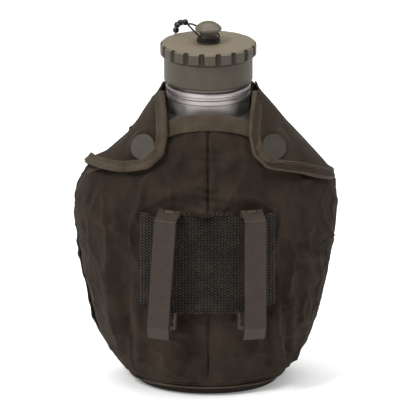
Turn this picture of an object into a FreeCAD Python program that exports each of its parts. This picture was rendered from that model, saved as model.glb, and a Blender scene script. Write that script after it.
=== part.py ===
import FreeCAD, Part
import math
import os

# Wide-mouth field canteen in a fabric belt cover.
# Origin: middle of the cover's flat base, under the bottle's neck. +Z is up, -Y is the side
# that carries the two belt clips, and X runs across the width. Millimetres.

Vector = FreeCAD.Vector
UP = Vector(0, 0, 1)

# ---------------------------------------------------------------- driving dimensions
# Cover outline stations: height, half width, depth to the front, depth to the back.
COVER_STATIONS = [
    (0.0, 38.0, 33.0, 28.0),
    (6.0, 43.5, 36.0, 31.0),
    (16.0, 50.5, 39.0, 33.0),
    (34.0, 60.0, 41.5, 35.0),
    (54.0, 66.0, 42.5, 36.0),
    (74.0, 70.5, 43.0, 36.5),
    (94.0, 74.0, 43.0, 36.5),
    (108.0, 75.0, 42.0, 36.0),
    (118.0, 73.0, 40.5, 35.0),
    (127.0, 66.5, 38.2, 33.5),
    (138.0, 56.3, 35.2, 31.5),
    (150.0, 45.5, 32.2, 30.0),
    (162.0, 34.9, 29.6, 28.0),
    (172.0, 26.5, 27.2, 26.5),
    (178.0, 26.0, 26.3, 26.2),
]
FRONT_ROUNDNESS = 2.1
BACK_ROUNDNESS = 2.6
OUTLINE_POINTS = 28

# Layers of the cover, as distances outside its main surface.
FABRIC = (-1.2, 0.0)
LINING = (-2.4, -1.3)
EDGE_TAPE = (-2.8, 0.5)
FLAP = (3.0, 4.4)
FLAP_TAPE = (2.6, 4.8)
WEBBING = (3.6, 5.2)
BASE_TAPE = (0.1, 1.4)
TAPE_WIDTH = 7.0
TAPE_OVERHANG = 0.8
SEAM_GAP = 0.2
BASE_CLOTH_TOP = 1.5
BASE_PAD_TOP = 2.8
PANEL_FOOT = 1.8

# Bottle outline stations: height, half width, depth to the front, depth to the back, dent.
BOTTLE_STATIONS = [
    (3.0, 30.0, 25.0, 21.0, 0.0),
    (8.0, 39.5, 31.5, 26.5, 0.5),
    (18.0, 47.5, 35.5, 29.5, 2.5),
    (36.0, 57.0, 38.0, 31.5, 5.0),
    (56.0, 62.8, 39.0, 32.5, 6.0),
    (76.0, 67.2, 39.5, 33.0, 6.0),
    (94.0, 70.3, 39.5, 33.0, 6.0),
    (107.0, 71.2, 38.5, 32.4, 5.5),
    (117.0, 69.0, 37.0, 31.3, 4.5),
    (126.0, 62.5, 34.5, 29.8, 3.0),
    (136.0, 51.0, 31.0, 28.0, 1.5),
    (146.0, 38.0, 27.8, 26.2, 0.5),
    (155.0, 27.5, 24.6, 24.4, 0.0),
    (160.0, 23.6, 23.6, 23.6, 0.0),
]
BOTTLE_WALL = 1.0
NECK_RADIUS = 23.5
NECK_WALL = 1.2
FINISH_RADIUS = 21.3
FINISH_FOOT = 176.0
MOUTH_TOP = 195.0
GROOVE = (168.6, 171.8, 22.9)
BEAD = (172.8, 175.6, 24.3)

# Screw thread shared by the neck and the cap.
THREAD_PITCH = 6.0
THREAD_TURNS = 1.25
NECK_THREAD_FOOT = 181.0
CAP_THREAD_FOOT = 178.8

# Cap.
CAP_FOOT = 177.5
CAP_TOP = 200.0
SKIRT_RADIUS = 25.35
FLANGE_FOOT = 193.0
FLANGE_RADIUS = 27.5
NOTCH_COUNT = 18
NOTCH_RADIUS = 1.8
NOTCH_DEPTH = 1.5
CAP_BORE = 23.4
CAP_PLATE = 3.0
GASKET_RADIUS = 22.9
GASKET_GAP = 0.3
BOSS_RADIUS = 6.6
BOSS_HEIGHT = 1.0
KNOB_SHANK = 2.5
KNOB_POST = 4.9
KNOB_HEAD = 7.65
KNOB_UNDER = 207.0
KNOB_TOP = 212.5

# Tether chain, from the wire loop round the knob's post down to the ring in the neck groove.
LOOP_RADIUS = 6.2
LOOP_REACH = 16.4
LOOP_TIP_RADIUS = 1.5
LOOP_WIRE = 0.55
LOOP_HEIGHT = 204.35
LOOP_TILT = 9.0
CHAIN_HEADING = 128.7
BALL_RADIUS = 1.9
BALL_COUNT = 20
LINK_RADIUS = 0.5
CHAIN_ROUTE = [
    (-13.3, 16.6, 207.4),
    (-16.0, 20.2, 206.2),
    (-18.0, 24.0, 203.6),
    (-18.7, 27.4, 197.5),
    (-19.0, 29.0, 188.0),
    (-19.4, 30.0, 173.0),
    (-19.6, 31.8, 160.0),
    (-18.2, 33.0, 152.8),
    (-14.6, 33.4, 149.6),
    (-11.2, 33.0, 153.0),
    (-11.0, 32.0, 161.0),
    (-13.6, 30.7, 168.2),
]
LUG_HEADING = 116.0
LUG_HEIGHT = 170.2

# Flaps: the fold runs straight up each shoulder, from its low end to its high end.
FOLD_LOW = (-72.0, 126.8)
FOLD_HIGH = (-30.9, 173.3)
FLAP_EDGE = [
    (-74.0, 125.5),
    (-60.0, 128.0),
    (-44.0, 131.0),
    (-32.5, 134.5),
    (-25.0, 142.0),
    (-22.6, 152.0),
    (-22.6, 164.0),
    (-23.6, 174.0),
]
SNAP_X = -35.3
SNAP_Z = 144.5
SNAP_YAW = 25.0
SNAP_PITCH = 24.0
SNAP_CAP_RADIUS = 7.3

# Upper edges of the pouch, across the front and across the back.
FRONT_EDGE = [(-80.0, 121.0), (-69.5, 126.8), (-45.0, 145.5), (-22.0, 160.5), (0.0, 165.0)]
BACK_EDGE = [(-30.0, 175.0), (-24.5, 173.0), (-13.0, 163.0), (0.0, 160.0)]

# Webbing and belt clips.
WEB_HALF_WIDTH = 37.5
WEB_Z = (52.5, 108.3)
CLIP_X = 23.7
CLIP_YAW = 12.0
LEFT_CLIP_LEAN = 3.8
CLIP_MIDDLE = 76.0
CLIP_WIDTH = 12.4
CLIP_SHEET = 1.3
CLIP_FRONT = 15.2
CLIP_SHOULDER = 110.0
CLIP_KNEE = 46.2
CLIP_TOE = 38.6
RAIL_BACK = 11.6
RAIL_Z = (66.0, 108.0)
RAIL_SHEET = 1.2
PIN_OUT = 3.1
PIN_Z = 111.2
PIN_RADIUS = 1.0
PIN_FIT = 0.05
BARREL_RADIUS = 2.2
KNUCKLE_HALF = 2.7
EAR_INNER = 3.1
LEG = (0.9, 1.9)
LEG_HALF = 5.5
LEG_Z = (40.7, 108.2)
CATCH_Z = (41.4, 42.8)
LOCK_Z = (46.0, 56.0)

COVER_FORMS = {}
os.makedirs("parts", exist_ok=True)


# ---------------------------------------------------------------- helpers
def save(shape, node):
    if not shape.isValid():
        shape = shape.copy()
        shape.fix(1e-4, 1e-4, 1e-3)
    solids = shape.Solids
    out = solids[0] if len(solids) == 1 else Part.makeCompound(solids)
    out.exportStep("parts/" + node + ".step")
    print(node, len(solids), "solids", round(out.Volume, 1), "mm3", "ok" if out.isValid() else "NOT VALID")


def box(x_range, y_range, z_range):
    size = [high - low for low, high in (x_range, y_range, z_range)]
    return Part.makeBox(size[0], size[1], size[2], Vector(x_range[0], y_range[0], z_range[0]))


def disc(radius, z_low, z_high):
    return Part.makeCylinder(radius, z_high - z_low, Vector(0, 0, z_low))


def ring(inner, outer, z_low, z_high):
    return disc(outer, z_low, z_high).cut(disc(inner, z_low - 1, z_high + 1))


def spun(profile):
    """Solid of revolution about Z from (radius, height) points."""
    points = [Vector(radius, 0, height) for radius, height in profile]
    face = Part.Face(Part.makePolygon(points + [points[0]]))
    return face.revolve(Vector(0, 0, 0), UP, 360)


def mirrored(shape):
    return shape.mirror(Vector(0, 0, 0), Vector(1, 0, 0))


def oval(height, half_width, front, back, dent, grow):
    """Closed rounded outline at one height: full at the front, flatter or dented at the back."""
    points = []
    for index in range(OUTLINE_POINTS):
        angle = 2 * math.pi * index / OUTLINE_POINTS
        across = math.cos(angle)
        along = math.sin(angle)
        depth = back if along > 0 else front
        power = BACK_ROUNDNESS if along > 0 else FRONT_ROUNDNESS
        if abs(half_width - depth) < 1.0:
            power = 2.0
        reach = (abs(across) / (half_width + grow)) ** power + (abs(along) / (depth + grow)) ** power
        radius = reach ** (-1.0 / power)
        x = radius * across
        y = radius * along
        if along > 0:
            y -= dent * (1 - (x / (half_width + grow)) ** 2) ** 2
        points.append(Vector(x, y, height))
    curve = Part.BSplineCurve()
    curve.interpolate(Points=points, PeriodicFlag=True)
    return Part.Wire([curve.toShape()])


def cover_form(grow):
    """Solid bounded by the cover's surface moved outwards by grow, lofted once for each value."""
    if grow not in COVER_FORMS:
        wires = [oval(z, a, f, b, 0.0, grow) for z, a, f, b in COVER_STATIONS]
        COVER_FORMS[grow] = Part.makeLoft(wires, True, False)
    return COVER_FORMS[grow]


def cover_layer(span):
    return cover_form(span[1]).cut(cover_form(span[0]))


def spline(points):
    curve = Part.BSplineCurve()
    curve.interpolate(Points=[Vector(x, 0, z) for x, z in points])
    return curve


def prism(edges, y_low, y_high):
    """Extrude a closed outline in the XZ plane along Y."""
    face = Part.Face(Part.Wire(Part.__sortEdges__(edges)))
    face.translate(Vector(0, y_low, 0))
    return face.extrude(Vector(0, y_high - y_low, 0))


def line(start, end):
    return Part.LineSegment(start, end).toShape()


def closed_by(curve, corners):
    """Edges of a spline closed through extra corner points given as (x, z)."""
    chain = [curve.EndPoint] + [Vector(x, 0, z) for x, z in corners] + [curve.StartPoint]
    edges = [curve.toShape()]
    for start, end in zip(chain, chain[1:]):
        edges.append(line(start, end))
    return edges


def moved_curve(curve, distance):
    """Spline beside another one, to its left in the XZ plane as it runs."""
    low = curve.FirstParameter
    step = (curve.LastParameter - low) / 12.0
    points = []
    for index in range(13):
        at = low + index * step
        direction = curve.tangent(at)[0]
        point = curve.value(at)
        points.append((point.x - direction.z * distance, point.z + direction.x * distance))
    return spline(points)


def edge_band(curve, inward, outward, y_low, y_high):
    """Prism that follows a spline, from outward on its right to inward on its left."""
    inner = moved_curve(curve, inward)
    outer = moved_curve(curve, -outward)
    edges = [
        inner.toShape(),
        outer.toShape(),
        line(inner.StartPoint, outer.StartPoint),
        line(inner.EndPoint, outer.EndPoint),
    ]
    return prism(edges, y_low, y_high)


def both_sides(left_half):
    """Complete a left-to-middle list of (x, z) points with its mirror image."""
    return left_half + [(-x, z) for x, z in reversed(left_half[:-1])]


# ---------------------------------------------------------------- bottle
def thread_ridge(root, crest, foot):
    """Helical ridge whose base is at root radius and whose crest is at crest radius."""
    height = THREAD_PITCH * THREAD_TURNS
    helix = Part.makeHelix(THREAD_PITCH, height, root)
    corners = [(root, -0.9), (crest, -0.4), (crest, 0.4), (root, 0.9), (root, -0.9)]
    profile = Part.makePolygon([Vector(radius, 0, z) for radius, z in corners])
    ridge = Part.Wire(helix.Edges).makePipeShell([profile], True, True)
    ridge.translate(Vector(0, 0, foot))
    return ridge


def bottle():
    outer_wires = [oval(z, a, f, b, dent, 0.0) for z, a, f, b, dent in BOTTLE_STATIONS]
    inner_wires = []
    for z, a, f, b, dent in BOTTLE_STATIONS:
        floor_rise = BOTTLE_WALL if z == BOTTLE_STATIONS[0][0] else 0.0
        inner_wires.append(oval(z + floor_rise, a, f, b, dent, -BOTTLE_WALL))
    outside = Part.makeLoft(outer_wires, True, False)
    inside = Part.makeLoft(inner_wires, True, False)
    groove_low, groove_high, groove_radius = GROOVE
    bead_low, bead_high, bead_radius = BEAD
    neck = spun([
        (0, 157.0), (NECK_RADIUS, 157.0), (NECK_RADIUS, groove_low), (groove_radius, groove_low + 0.3),
        (groove_radius, groove_high - 0.3), (NECK_RADIUS, groove_high), (NECK_RADIUS, bead_low),
        (bead_radius, bead_low + 0.7), (bead_radius, bead_high - 0.7), (NECK_RADIUS, bead_high),
        (FINISH_RADIUS, FINISH_FOOT), (FINISH_RADIUS, MOUTH_TOP - 0.5),
        (FINISH_RADIUS - 0.4, MOUTH_TOP), (0, MOUTH_TOP),
    ])
    neck = neck.fuse(thread_ridge(FINISH_RADIUS - 0.2, FINISH_RADIUS + 1.5, NECK_THREAD_FOOT))
    throat = spun([
        (0, 152.0), (NECK_RADIUS - 3, 152.0), (groove_radius - NECK_WALL, 158.0),
        (groove_radius - NECK_WALL, 173.5), (FINISH_RADIUS - NECK_WALL, 176.0),
        (FINISH_RADIUS - NECK_WALL, MOUTH_TOP + 2), (0, MOUTH_TOP + 2),
    ])
    return outside.fuse(neck).cut(inside).cut(throat)


def neck_ring():
    """Split-free band in the neck groove, with a lug at the back for the tether."""
    low, high, radius = GROOVE
    band = ring(radius + 0.1, radius + 1.2, low + 0.5, high - 0.5)
    lug = box((23.6, 29.3), (-2.0, 2.0), (LUG_HEIGHT - 0.4, LUG_HEIGHT + 0.4))
    lug = lug.cut(Part.makeCylinder(0.9, 3, Vector(27.6, 0, LUG_HEIGHT - 1.5)))
    lug.rotate(Vector(0, 0, 0), UP, LUG_HEADING)
    return band.fuse(lug)


def chain_end_ring():
    wire_ring = Part.makeTorus(1.9, 0.4, Vector(29.5, 0, LUG_HEIGHT), Vector(0, 1, 0))
    wire_ring.rotate(Vector(0, 0, 0), UP, LUG_HEADING)
    return wire_ring


# ---------------------------------------------------------------- cap
def cap_shell():
    body = spun([
        (0, CAP_FOOT), (SKIRT_RADIUS - 1.0, CAP_FOOT), (SKIRT_RADIUS, CAP_FOOT + 1.4),
        (SKIRT_RADIUS, FLANGE_FOOT - 1.0), (FLANGE_RADIUS - 0.8, FLANGE_FOOT),
        (FLANGE_RADIUS, FLANGE_FOOT + 0.8), (FLANGE_RADIUS, CAP_TOP - 1.0),
        (FLANGE_RADIUS - 1.0, CAP_TOP), (BOSS_RADIUS, CAP_TOP),
        (BOSS_RADIUS, CAP_TOP + BOSS_HEIGHT), (0, CAP_TOP + BOSS_HEIGHT),
    ])
    for index in range(NOTCH_COUNT):
        angle = math.radians(2.0 + index * 360.0 / NOTCH_COUNT)
        reach = FLANGE_RADIUS - NOTCH_DEPTH + NOTCH_RADIUS
        centre = Vector(reach * math.cos(angle), reach * math.sin(angle), FLANGE_FOOT - 2)
        body = body.cut(Part.makeCylinder(NOTCH_RADIUS, CAP_TOP - FLANGE_FOOT + 4, centre))
    body = body.cut(disc(CAP_BORE, CAP_FOOT - 1, CAP_TOP - CAP_PLATE))
    body = body.fuse(thread_ridge(CAP_BORE + 0.2, CAP_BORE - 1.6, CAP_THREAD_FOOT))
    return body.cut(disc(KNOB_SHANK, CAP_TOP - CAP_PLATE - 1, CAP_TOP + 5))


def cap_gasket():
    gasket = disc(GASKET_RADIUS, MOUTH_TOP + GASKET_GAP, CAP_TOP - CAP_PLATE)
    return gasket


def cap_knob():
    """Riveted stud: shank through the plate, post for the wire loop, and a domed head."""
    rim_top = KNOB_UNDER + 1.6
    boss_top = CAP_TOP + BOSS_HEIGHT
    stud = spun([
        (0, CAP_TOP - CAP_PLATE), (KNOB_SHANK, CAP_TOP - CAP_PLATE), (KNOB_SHANK, boss_top),
        (KNOB_POST, boss_top), (KNOB_POST, KNOB_UNDER), (KNOB_HEAD - 0.6, KNOB_UNDER),
        (KNOB_HEAD, KNOB_UNDER + 0.6), (KNOB_HEAD, rim_top), (0, rim_top),
    ])
    rise = KNOB_TOP - rim_top
    dome_radius = (KNOB_HEAD ** 2 + rise ** 2) / (2 * rise)
    ball = Part.makeSphere(dome_radius, Vector(0, 0, KNOB_TOP - dome_radius))
    dome = ball.common(disc(KNOB_HEAD + 2, rim_top, KNOB_TOP + 2))
    return stud.fuse(dome)


def knob_washer():
    return ring(KNOB_POST + 0.4, KNOB_POST + 1.9, CAP_TOP + BOSS_HEIGHT + 0.3, CAP_TOP + BOSS_HEIGHT + 1.1)


def chain_loop():
    """Closed wire teardrop: a large eye round the knob's post and a small eye for the chain."""
    lean = math.acos((LOOP_RADIUS - LOOP_TIP_RADIUS) / LOOP_REACH)
    big = [Vector(LOOP_RADIUS * math.cos(lean * side), LOOP_RADIUS * math.sin(lean * side), 0)
           for side in (1, -1)]
    small = [Vector(LOOP_REACH + LOOP_TIP_RADIUS * math.cos(lean * side),
                    LOOP_TIP_RADIUS * math.sin(lean * side), 0) for side in (1, -1)]
    tip = Vector(LOOP_REACH + LOOP_TIP_RADIUS, 0, 0)
    path = Part.Wire([
        Part.Arc(big[0], Vector(-LOOP_RADIUS, 0, 0), big[1]).toShape(),
        line(big[1], small[1]),
        Part.Arc(small[1], tip, small[0]).toShape(),
        line(small[0], big[0]),
    ])
    start = path.Edges[0].Vertexes[0].Point
    tangent = path.Edges[0].tangentAt(path.Edges[0].FirstParameter)
    section = Part.Wire([Part.Circle(start, tangent, LOOP_WIRE).toShape()])
    loop = path.makePipeShell([section], True, False)
    loop.rotate(Vector(0, 0, 0), Vector(0, 1, 0), -LOOP_TILT)
    loop.rotate(Vector(0, 0, 0), UP, CHAIN_HEADING)
    loop.translate(Vector(0, 0, LOOP_HEIGHT))
    return loop


def ball_places():
    curve = Part.BSplineCurve()
    curve.interpolate(Points=[Vector(x, y, z) for x, y, z in CHAIN_ROUTE])
    edge = curve.toShape()
    print("chain length", round(edge.Length, 1), "mm, pitch", round(edge.Length / (BALL_COUNT - 1), 2))
    return edge.discretize(Number=BALL_COUNT)


def chain_balls(places):
    return Part.makeCompound([Part.makeSphere(BALL_RADIUS, place) for place in places])


def chain_links(places):
    links = []
    for start, end in zip(places, places[1:]):
        rod = Part.makeCylinder(LINK_RADIUS, (end - start).Length, start, end - start)
        for centre in (start, end):
            rod = rod.cut(Part.makeSphere(BALL_RADIUS, centre))
        links.append(rod)
    return Part.makeCompound(links)


# ---------------------------------------------------------------- cover
def pouch_region(edge_points, y_low, y_high):
    """Everything below a top edge drawn in the XZ plane, within a range of Y."""
    half = 90.0
    curve = spline(edge_points)
    last = edge_points[-1][1]
    first = edge_points[0][1]
    return prism(closed_by(curve, [(half, last), (half, PANEL_FOOT), (-half, PANEL_FOOT), (-half, first)]),
                 y_low, y_high)


def back_edge_points():
    """Back panel: its edge follows both folds and dips behind the neck."""
    return both_sides(BACK_EDGE)


def back_region(grow_down):
    points = [(x, z - grow_down) for x, z in back_edge_points()]
    curve = spline(points)
    half = 90.0
    corners = [(half, points[-1][1]), (half, PANEL_FOOT), (-half, PANEL_FOOT), (-half, points[0][1])]
    return prism(closed_by(curve, corners), SEAM_GAP, 60.0)


def flap_region():
    curve = spline(FLAP_EDGE)
    return prism(closed_by(curve, [(-85.0, FLAP_EDGE[-1][1]), (-85.0, FLAP_EDGE[0][1])]), -60.0, -SEAM_GAP)


def snap_frame():
    """Centre of the snap on the cover's surface and the outward direction there."""
    yaw = math.radians(SNAP_YAW)
    pitch = math.radians(SNAP_PITCH)
    outward = Vector(-math.sin(yaw) * math.cos(pitch), -math.cos(yaw) * math.cos(pitch), math.sin(pitch))
    ray = line(Vector(SNAP_X, -70, SNAP_Z), Vector(SNAP_X, 0, SNAP_Z))
    hit = ray.common(cover_form(0.0))
    centre = min((vertex.Point for vertex in hit.Vertexes), key=lambda point: point.y)
    return centre, outward


def along(frame, radius, low, high):
    """Cylinder on the snap's axis between two distances from the cover's surface."""
    centre, outward = frame
    return Part.makeCylinder(radius, high - low, centre + outward * low, outward)


def furthest(shape, direction):
    """The solid of a cut shape that lies furthest along a direction."""
    return max(shape.Solids, key=lambda solid: solid.CenterOfMass.dot(direction))


# ---------------------------------------------------------------- belt clips
def extruded(outline, half_width):
    """Extrude a (distance outwards, height) outline across the clip."""
    points = [Vector(-half_width, -out, z) for out, z in outline]
    face = Part.Face(Part.makePolygon(points + [points[0]]))
    return face.extrude(Vector(2 * half_width, 0, 0))


def barrel(radius, x_low, x_high):
    return Part.makeCylinder(radius, x_high - x_low, Vector(x_low, -PIN_OUT, PIN_Z), Vector(1, 0, 0))


def clip_bar():
    """Front bar: top plate with two hinge ears, long face, side rails and a hooked toe."""
    half = CLIP_WIDTH / 2
    inner = CLIP_FRONT - CLIP_SHEET
    top = PIN_Z + BARREL_RADIUS
    strip = extruded([
        (PIN_OUT, top), (CLIP_FRONT, CLIP_SHOULDER), (CLIP_FRONT, CLIP_KNEE),
        (CLIP_FRONT - 4.4, CLIP_TOE), (CLIP_FRONT - 6.8, CLIP_TOE),
        (CLIP_FRONT - 6.8, CLIP_TOE + CLIP_SHEET), (CLIP_FRONT - 5.1, CLIP_TOE + CLIP_SHEET),
        (inner, CLIP_KNEE + 0.3), (inner, CLIP_SHOULDER - 1.0), (PIN_OUT, top - 1.4),
    ], half)
    bends = [edge for edge in strip.Edges
             if abs(edge.Length - CLIP_WIDTH) < 0.01 and edge.Vertexes[0].Y < -CLIP_FRONT + 0.01]
    strip = strip.makeFillet(0.9, bends)
    for side in (-1, 1):
        rail_x = sorted((side * half, side * (half - RAIL_SHEET)))
        rail = box(rail_x, (-CLIP_FRONT + 0.6, -RAIL_BACK), RAIL_Z)
        ear_x = sorted((side * half, side * EAR_INNER))
        strip = strip.fuse(rail).fuse(barrel(BARREL_RADIUS, ear_x[0], ear_x[1]))
    notch = box((-EAR_INNER, EAR_INNER), (-PIN_OUT - 3.0, 0), (PIN_Z - 4, top + 2))
    return strip.cut(notch).cut(barrel(PIN_RADIUS, -half - 1, half + 1)).removeSplitter()


def clip_pin():
    return barrel(PIN_RADIUS, -CLIP_WIDTH / 2, CLIP_WIDTH / 2)


def clip_leg():
    """Back leg behind the webbing: knuckle round the pin, flat strip, and a forward catch."""
    leg = box((-LEG_HALF, LEG_HALF), (-LEG[1], -LEG[0]), LEG_Z)
    stem = box((-KNUCKLE_HALF, KNUCKLE_HALF), (-LEG[1], -LEG[0]), (LEG_Z[1] - 1, PIN_Z))
    knuckle = barrel(BARREL_RADIUS, -KNUCKLE_HALF, KNUCKLE_HALF)
    catch = box((-2.0, 2.0), (-CLIP_FRONT + 5.9, -LEG[0]), CATCH_Z)
    return leg.fuse(stem).fuse(knuckle).fuse(catch).cut(barrel(PIN_RADIUS + PIN_FIT, -10, 10)).removeSplitter()


def clip_lock():
    """Sliding lock behind the bar: slotted plate with a thumb edge and one small tooth."""
    inner = -(CLIP_FRONT - CLIP_SHEET)
    low, high = LOCK_Z
    plate = box((-9.8, 5.8), (inner + 0.4, inner + 1.6), LOCK_Z)
    slot = box((-8.4, -6.9), (inner - 1, inner + 3), (low + 2.2, high + 1.2))
    thumb = box((-9.8, -8.6), (inner + 0.4, inner + 4.6), LOCK_Z)
    tooth = box((-8.7, -7.7), (inner + 0.4, inner + 1.6), (low + 4.8, low + 6.1))
    return plate.cut(slot).fuse(thumb).fuse(tooth).removeSplitter()


def place_clip(shape, side):
    """Stand a clip on the cover: the right one is mirrored to the left, which also leans."""
    placed = shape.copy()
    surface_y = -clip_depth()
    placed.rotate(Vector(0, 0, 0), UP, CLIP_YAW)
    placed.translate(Vector(CLIP_X, surface_y, 0))
    if side == "left":
        placed = mirrored(placed)
        placed.rotate(Vector(-CLIP_X, surface_y, CLIP_MIDDLE), Vector(0, 1, 0), LEFT_CLIP_LEAN)
    return placed


def clip_depth():
    """Depth of the cover's front surface at the clips' centre lines, at mid height."""
    height, half_width, front, back = COVER_STATIONS[5]
    return front * (1 - (CLIP_X / half_width) ** FRONT_ROUNDNESS) ** (1 / FRONT_ROUNDNESS)


def clip_axes(side):
    """Pin centre, pin direction and sliding direction of one clip, for its joints."""
    places = [Vector(0, -PIN_OUT, PIN_Z), Vector(1, -PIN_OUT, PIN_Z), Vector(0, -PIN_OUT, PIN_Z + 1)]
    centre, across, above = [place_clip(Part.Vertex(place), side).Point for place in places]
    return centre, across - centre, above - centre


# ---------------------------------------------------------------- build: bottle and cap
def build_bottle_and_cap():
    save(bottle(), "bottle_body")
    save(neck_ring(), "neck_ring")
    save(chain_end_ring(), "chain_end_ring")
    save(cap_shell(), "cap_shell")
    save(cap_gasket(), "cap_gasket")
    save(cap_knob(), "cap_knob")
    save(knob_washer(), "knob_washer")
    save(chain_loop(), "chain_loop")
    places = ball_places()
    save(chain_balls(places), "chain_balls")
    save(chain_links(places), "chain_links")


# ---------------------------------------------------------------- build: cover
def build_pouch(frame):
    front = pouch_region(both_sides(FRONT_EDGE), -60.0, -SEAM_GAP)
    front_curve = spline(both_sides(FRONT_EDGE))
    front_band = edge_band(front_curve, -TAPE_WIDTH, -TAPE_OVERHANG, -60.0, -SEAM_GAP - 0.4)
    back = back_region(0.0)
    back_curve = spline(both_sides(BACK_EDGE))
    back_band = edge_band(back_curve, -TAPE_WIDTH, -TAPE_OVERHANG, 12.0, 60.0)
    fabric = cover_layer(FABRIC)
    lining = cover_layer(LINING)
    tape = cover_layer(EDGE_TAPE)

    front_cloth = fabric.common(front)
    back_cloth = fabric.common(back)
    felt = lining.common(front).fuse(lining.common(back))
    post_hole = along(frame, 1.6, -6.0, 6.0)
    eyelet_seat = along(frame, 4.4, -6.0, -0.6)
    for hole in (post_hole, mirrored(post_hole)):
        front_cloth = front_cloth.cut(hole)
    for seat in (eyelet_seat, mirrored(eyelet_seat)):
        felt = felt.cut(seat)
        front_cloth = front_cloth.cut(seat)
    seam = SEAM_GAP / 2
    left_cloth = front_cloth.common(box((-90, -seam), (-60, 0), (0, 200)))
    right_cloth = front_cloth.common(box((seam, 90), (-60, 0), (0, 200)))
    save(left_cloth, "front_panel_left")
    save(right_cloth, "front_panel_right")
    save(back_cloth, "back_panel")
    save(felt, "felt_lining")
    front_tape = tape.common(front_band).cut(front_cloth).cut(felt)
    for seat in (along(frame, 6.5, -8.0, 8.0), mirrored(along(frame, 6.5, -8.0, 8.0))):
        front_tape = front_tape.cut(seat)
    save(front_tape, "front_binding")
    save(tape.common(back_band).cut(back_cloth).cut(felt), "back_binding")

    floor_cloth = cover_form(0.0).common(box((-90, 90), (-60, 60), (0, BASE_CLOTH_TOP)))
    save(floor_cloth, "bottom_panel")
    pad = cover_form(FABRIC[0] - 0.4).common(box((-90, 90), (-60, 60), (BASE_CLOTH_TOP, BASE_PAD_TOP)))
    save(pad.cut(felt).cut(fabric), "base_pad")
    save(cover_layer(BASE_TAPE).common(box((-90, 90), (-60, 60), (0.4, 6.0))), "bottom_binding")
    return front_cloth


def build_flaps_and_snaps(frame, front_cloth):
    outward = frame[1]
    region = flap_region()
    cloth = cover_layer(FLAP).common(region)
    hole = along(frame, 1.5, -2.0, 8.0)
    cloth = cloth.cut(hole)
    curve = spline(FLAP_EDGE)
    band = edge_band(curve, TAPE_WIDTH, TAPE_OVERHANG, -60.0, -SEAM_GAP - 0.3)
    tape = cover_layer(FLAP_TAPE).common(band).cut(cloth)
    tape = tape.cut(along(frame, SNAP_CAP_RADIUS + 0.2, -4.0, 8.0))
    cap = furthest(along(frame, SNAP_CAP_RADIUS, 2.9, 5.6).cut(cloth), outward)
    cap = cap.fuse(along(frame, 1.5, 2.0, 4.5))
    socket = along(frame, 6.0, 1.1, 2.9).cut(cloth).cut(cap)
    socket = min(socket.Solids, key=lambda solid: solid.CenterOfMass.dot(outward))
    socket = socket.cut(along(frame, 4.3, -2.0, 1.7))
    stud = furthest(along(frame, 3.6, -0.6, 0.55).cut(front_cloth), outward)
    stud = stud.fuse(along(frame, 2.3, 0.3, 1.35)).fuse(along(frame, 1.6, -0.9, 0.6))
    eyelet = along(frame, 4.3, -1.5, -0.9)
    pieces = {
        "flap": cloth,
        "flap_binding": tape,
        "snap_cap": cap,
        "snap_socket": socket,
        "snap_stud": stud,
        "snap_eyelet": eyelet,
    }
    for name, shape in pieces.items():
        save(shape, "left_" + name)
        save(mirrored(shape), "right_" + name)


def build_webbing_and_clips():
    web_box = box((-WEB_HALF_WIDTH, WEB_HALF_WIDTH), (-60, 0), WEB_Z)
    save(cover_layer(WEBBING).common(web_box), "web_panel")
    pieces = {"clip_bar": clip_bar(), "clip_pin": clip_pin(), "clip_leg": clip_leg(), "clip_lock": clip_lock()}
    for side in ("left", "right"):
        for name, shape in pieces.items():
            save(place_clip(shape, side), side + "_" + name)
        centre, pin_way, slide_way = clip_axes(side)
        print(side, "clip pin at", centre, "pin axis", pin_way, "slide axis", slide_way)


FOLD_RUN = Vector(FOLD_HIGH[0] - FOLD_LOW[0], 0, FOLD_HIGH[1] - FOLD_LOW[1])
print("left fold starts at", FOLD_LOW, "and runs", FOLD_RUN.normalize())
SNAP = snap_frame()
print("snap centre", SNAP[0], "outward", SNAP[1])
build_bottle_and_cap()
FRONT_CLOTH = build_pouch(SNAP)
build_flaps_and_snaps(SNAP, FRONT_CLOTH)
build_webbing_and_clips()
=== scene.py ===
import math

import bmesh
import bpy
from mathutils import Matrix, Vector, noise
from mathutils.bvhtree import BVHTree


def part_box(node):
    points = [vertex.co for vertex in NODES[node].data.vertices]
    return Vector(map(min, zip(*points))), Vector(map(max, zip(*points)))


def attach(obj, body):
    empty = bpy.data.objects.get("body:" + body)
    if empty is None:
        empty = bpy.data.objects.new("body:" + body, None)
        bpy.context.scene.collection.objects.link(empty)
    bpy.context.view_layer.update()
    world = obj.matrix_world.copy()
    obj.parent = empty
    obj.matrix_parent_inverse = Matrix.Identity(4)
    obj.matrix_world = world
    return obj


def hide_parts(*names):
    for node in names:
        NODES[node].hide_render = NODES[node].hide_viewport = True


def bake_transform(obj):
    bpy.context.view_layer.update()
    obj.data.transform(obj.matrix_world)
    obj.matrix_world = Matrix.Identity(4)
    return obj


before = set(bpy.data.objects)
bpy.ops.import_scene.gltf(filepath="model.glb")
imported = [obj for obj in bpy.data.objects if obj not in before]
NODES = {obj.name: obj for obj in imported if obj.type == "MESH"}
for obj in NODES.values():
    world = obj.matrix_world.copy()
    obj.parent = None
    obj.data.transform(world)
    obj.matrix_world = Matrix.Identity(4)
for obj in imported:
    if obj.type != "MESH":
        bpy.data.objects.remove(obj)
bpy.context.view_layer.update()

MM = 0.001
COLLECTION = bpy.context.scene.collection


# ================================================================ camera and light
def look_at(item, target):
    item.rotation_euler = (Vector(target) - item.location).to_track_quat("-Z", "Y").to_euler()


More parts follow.
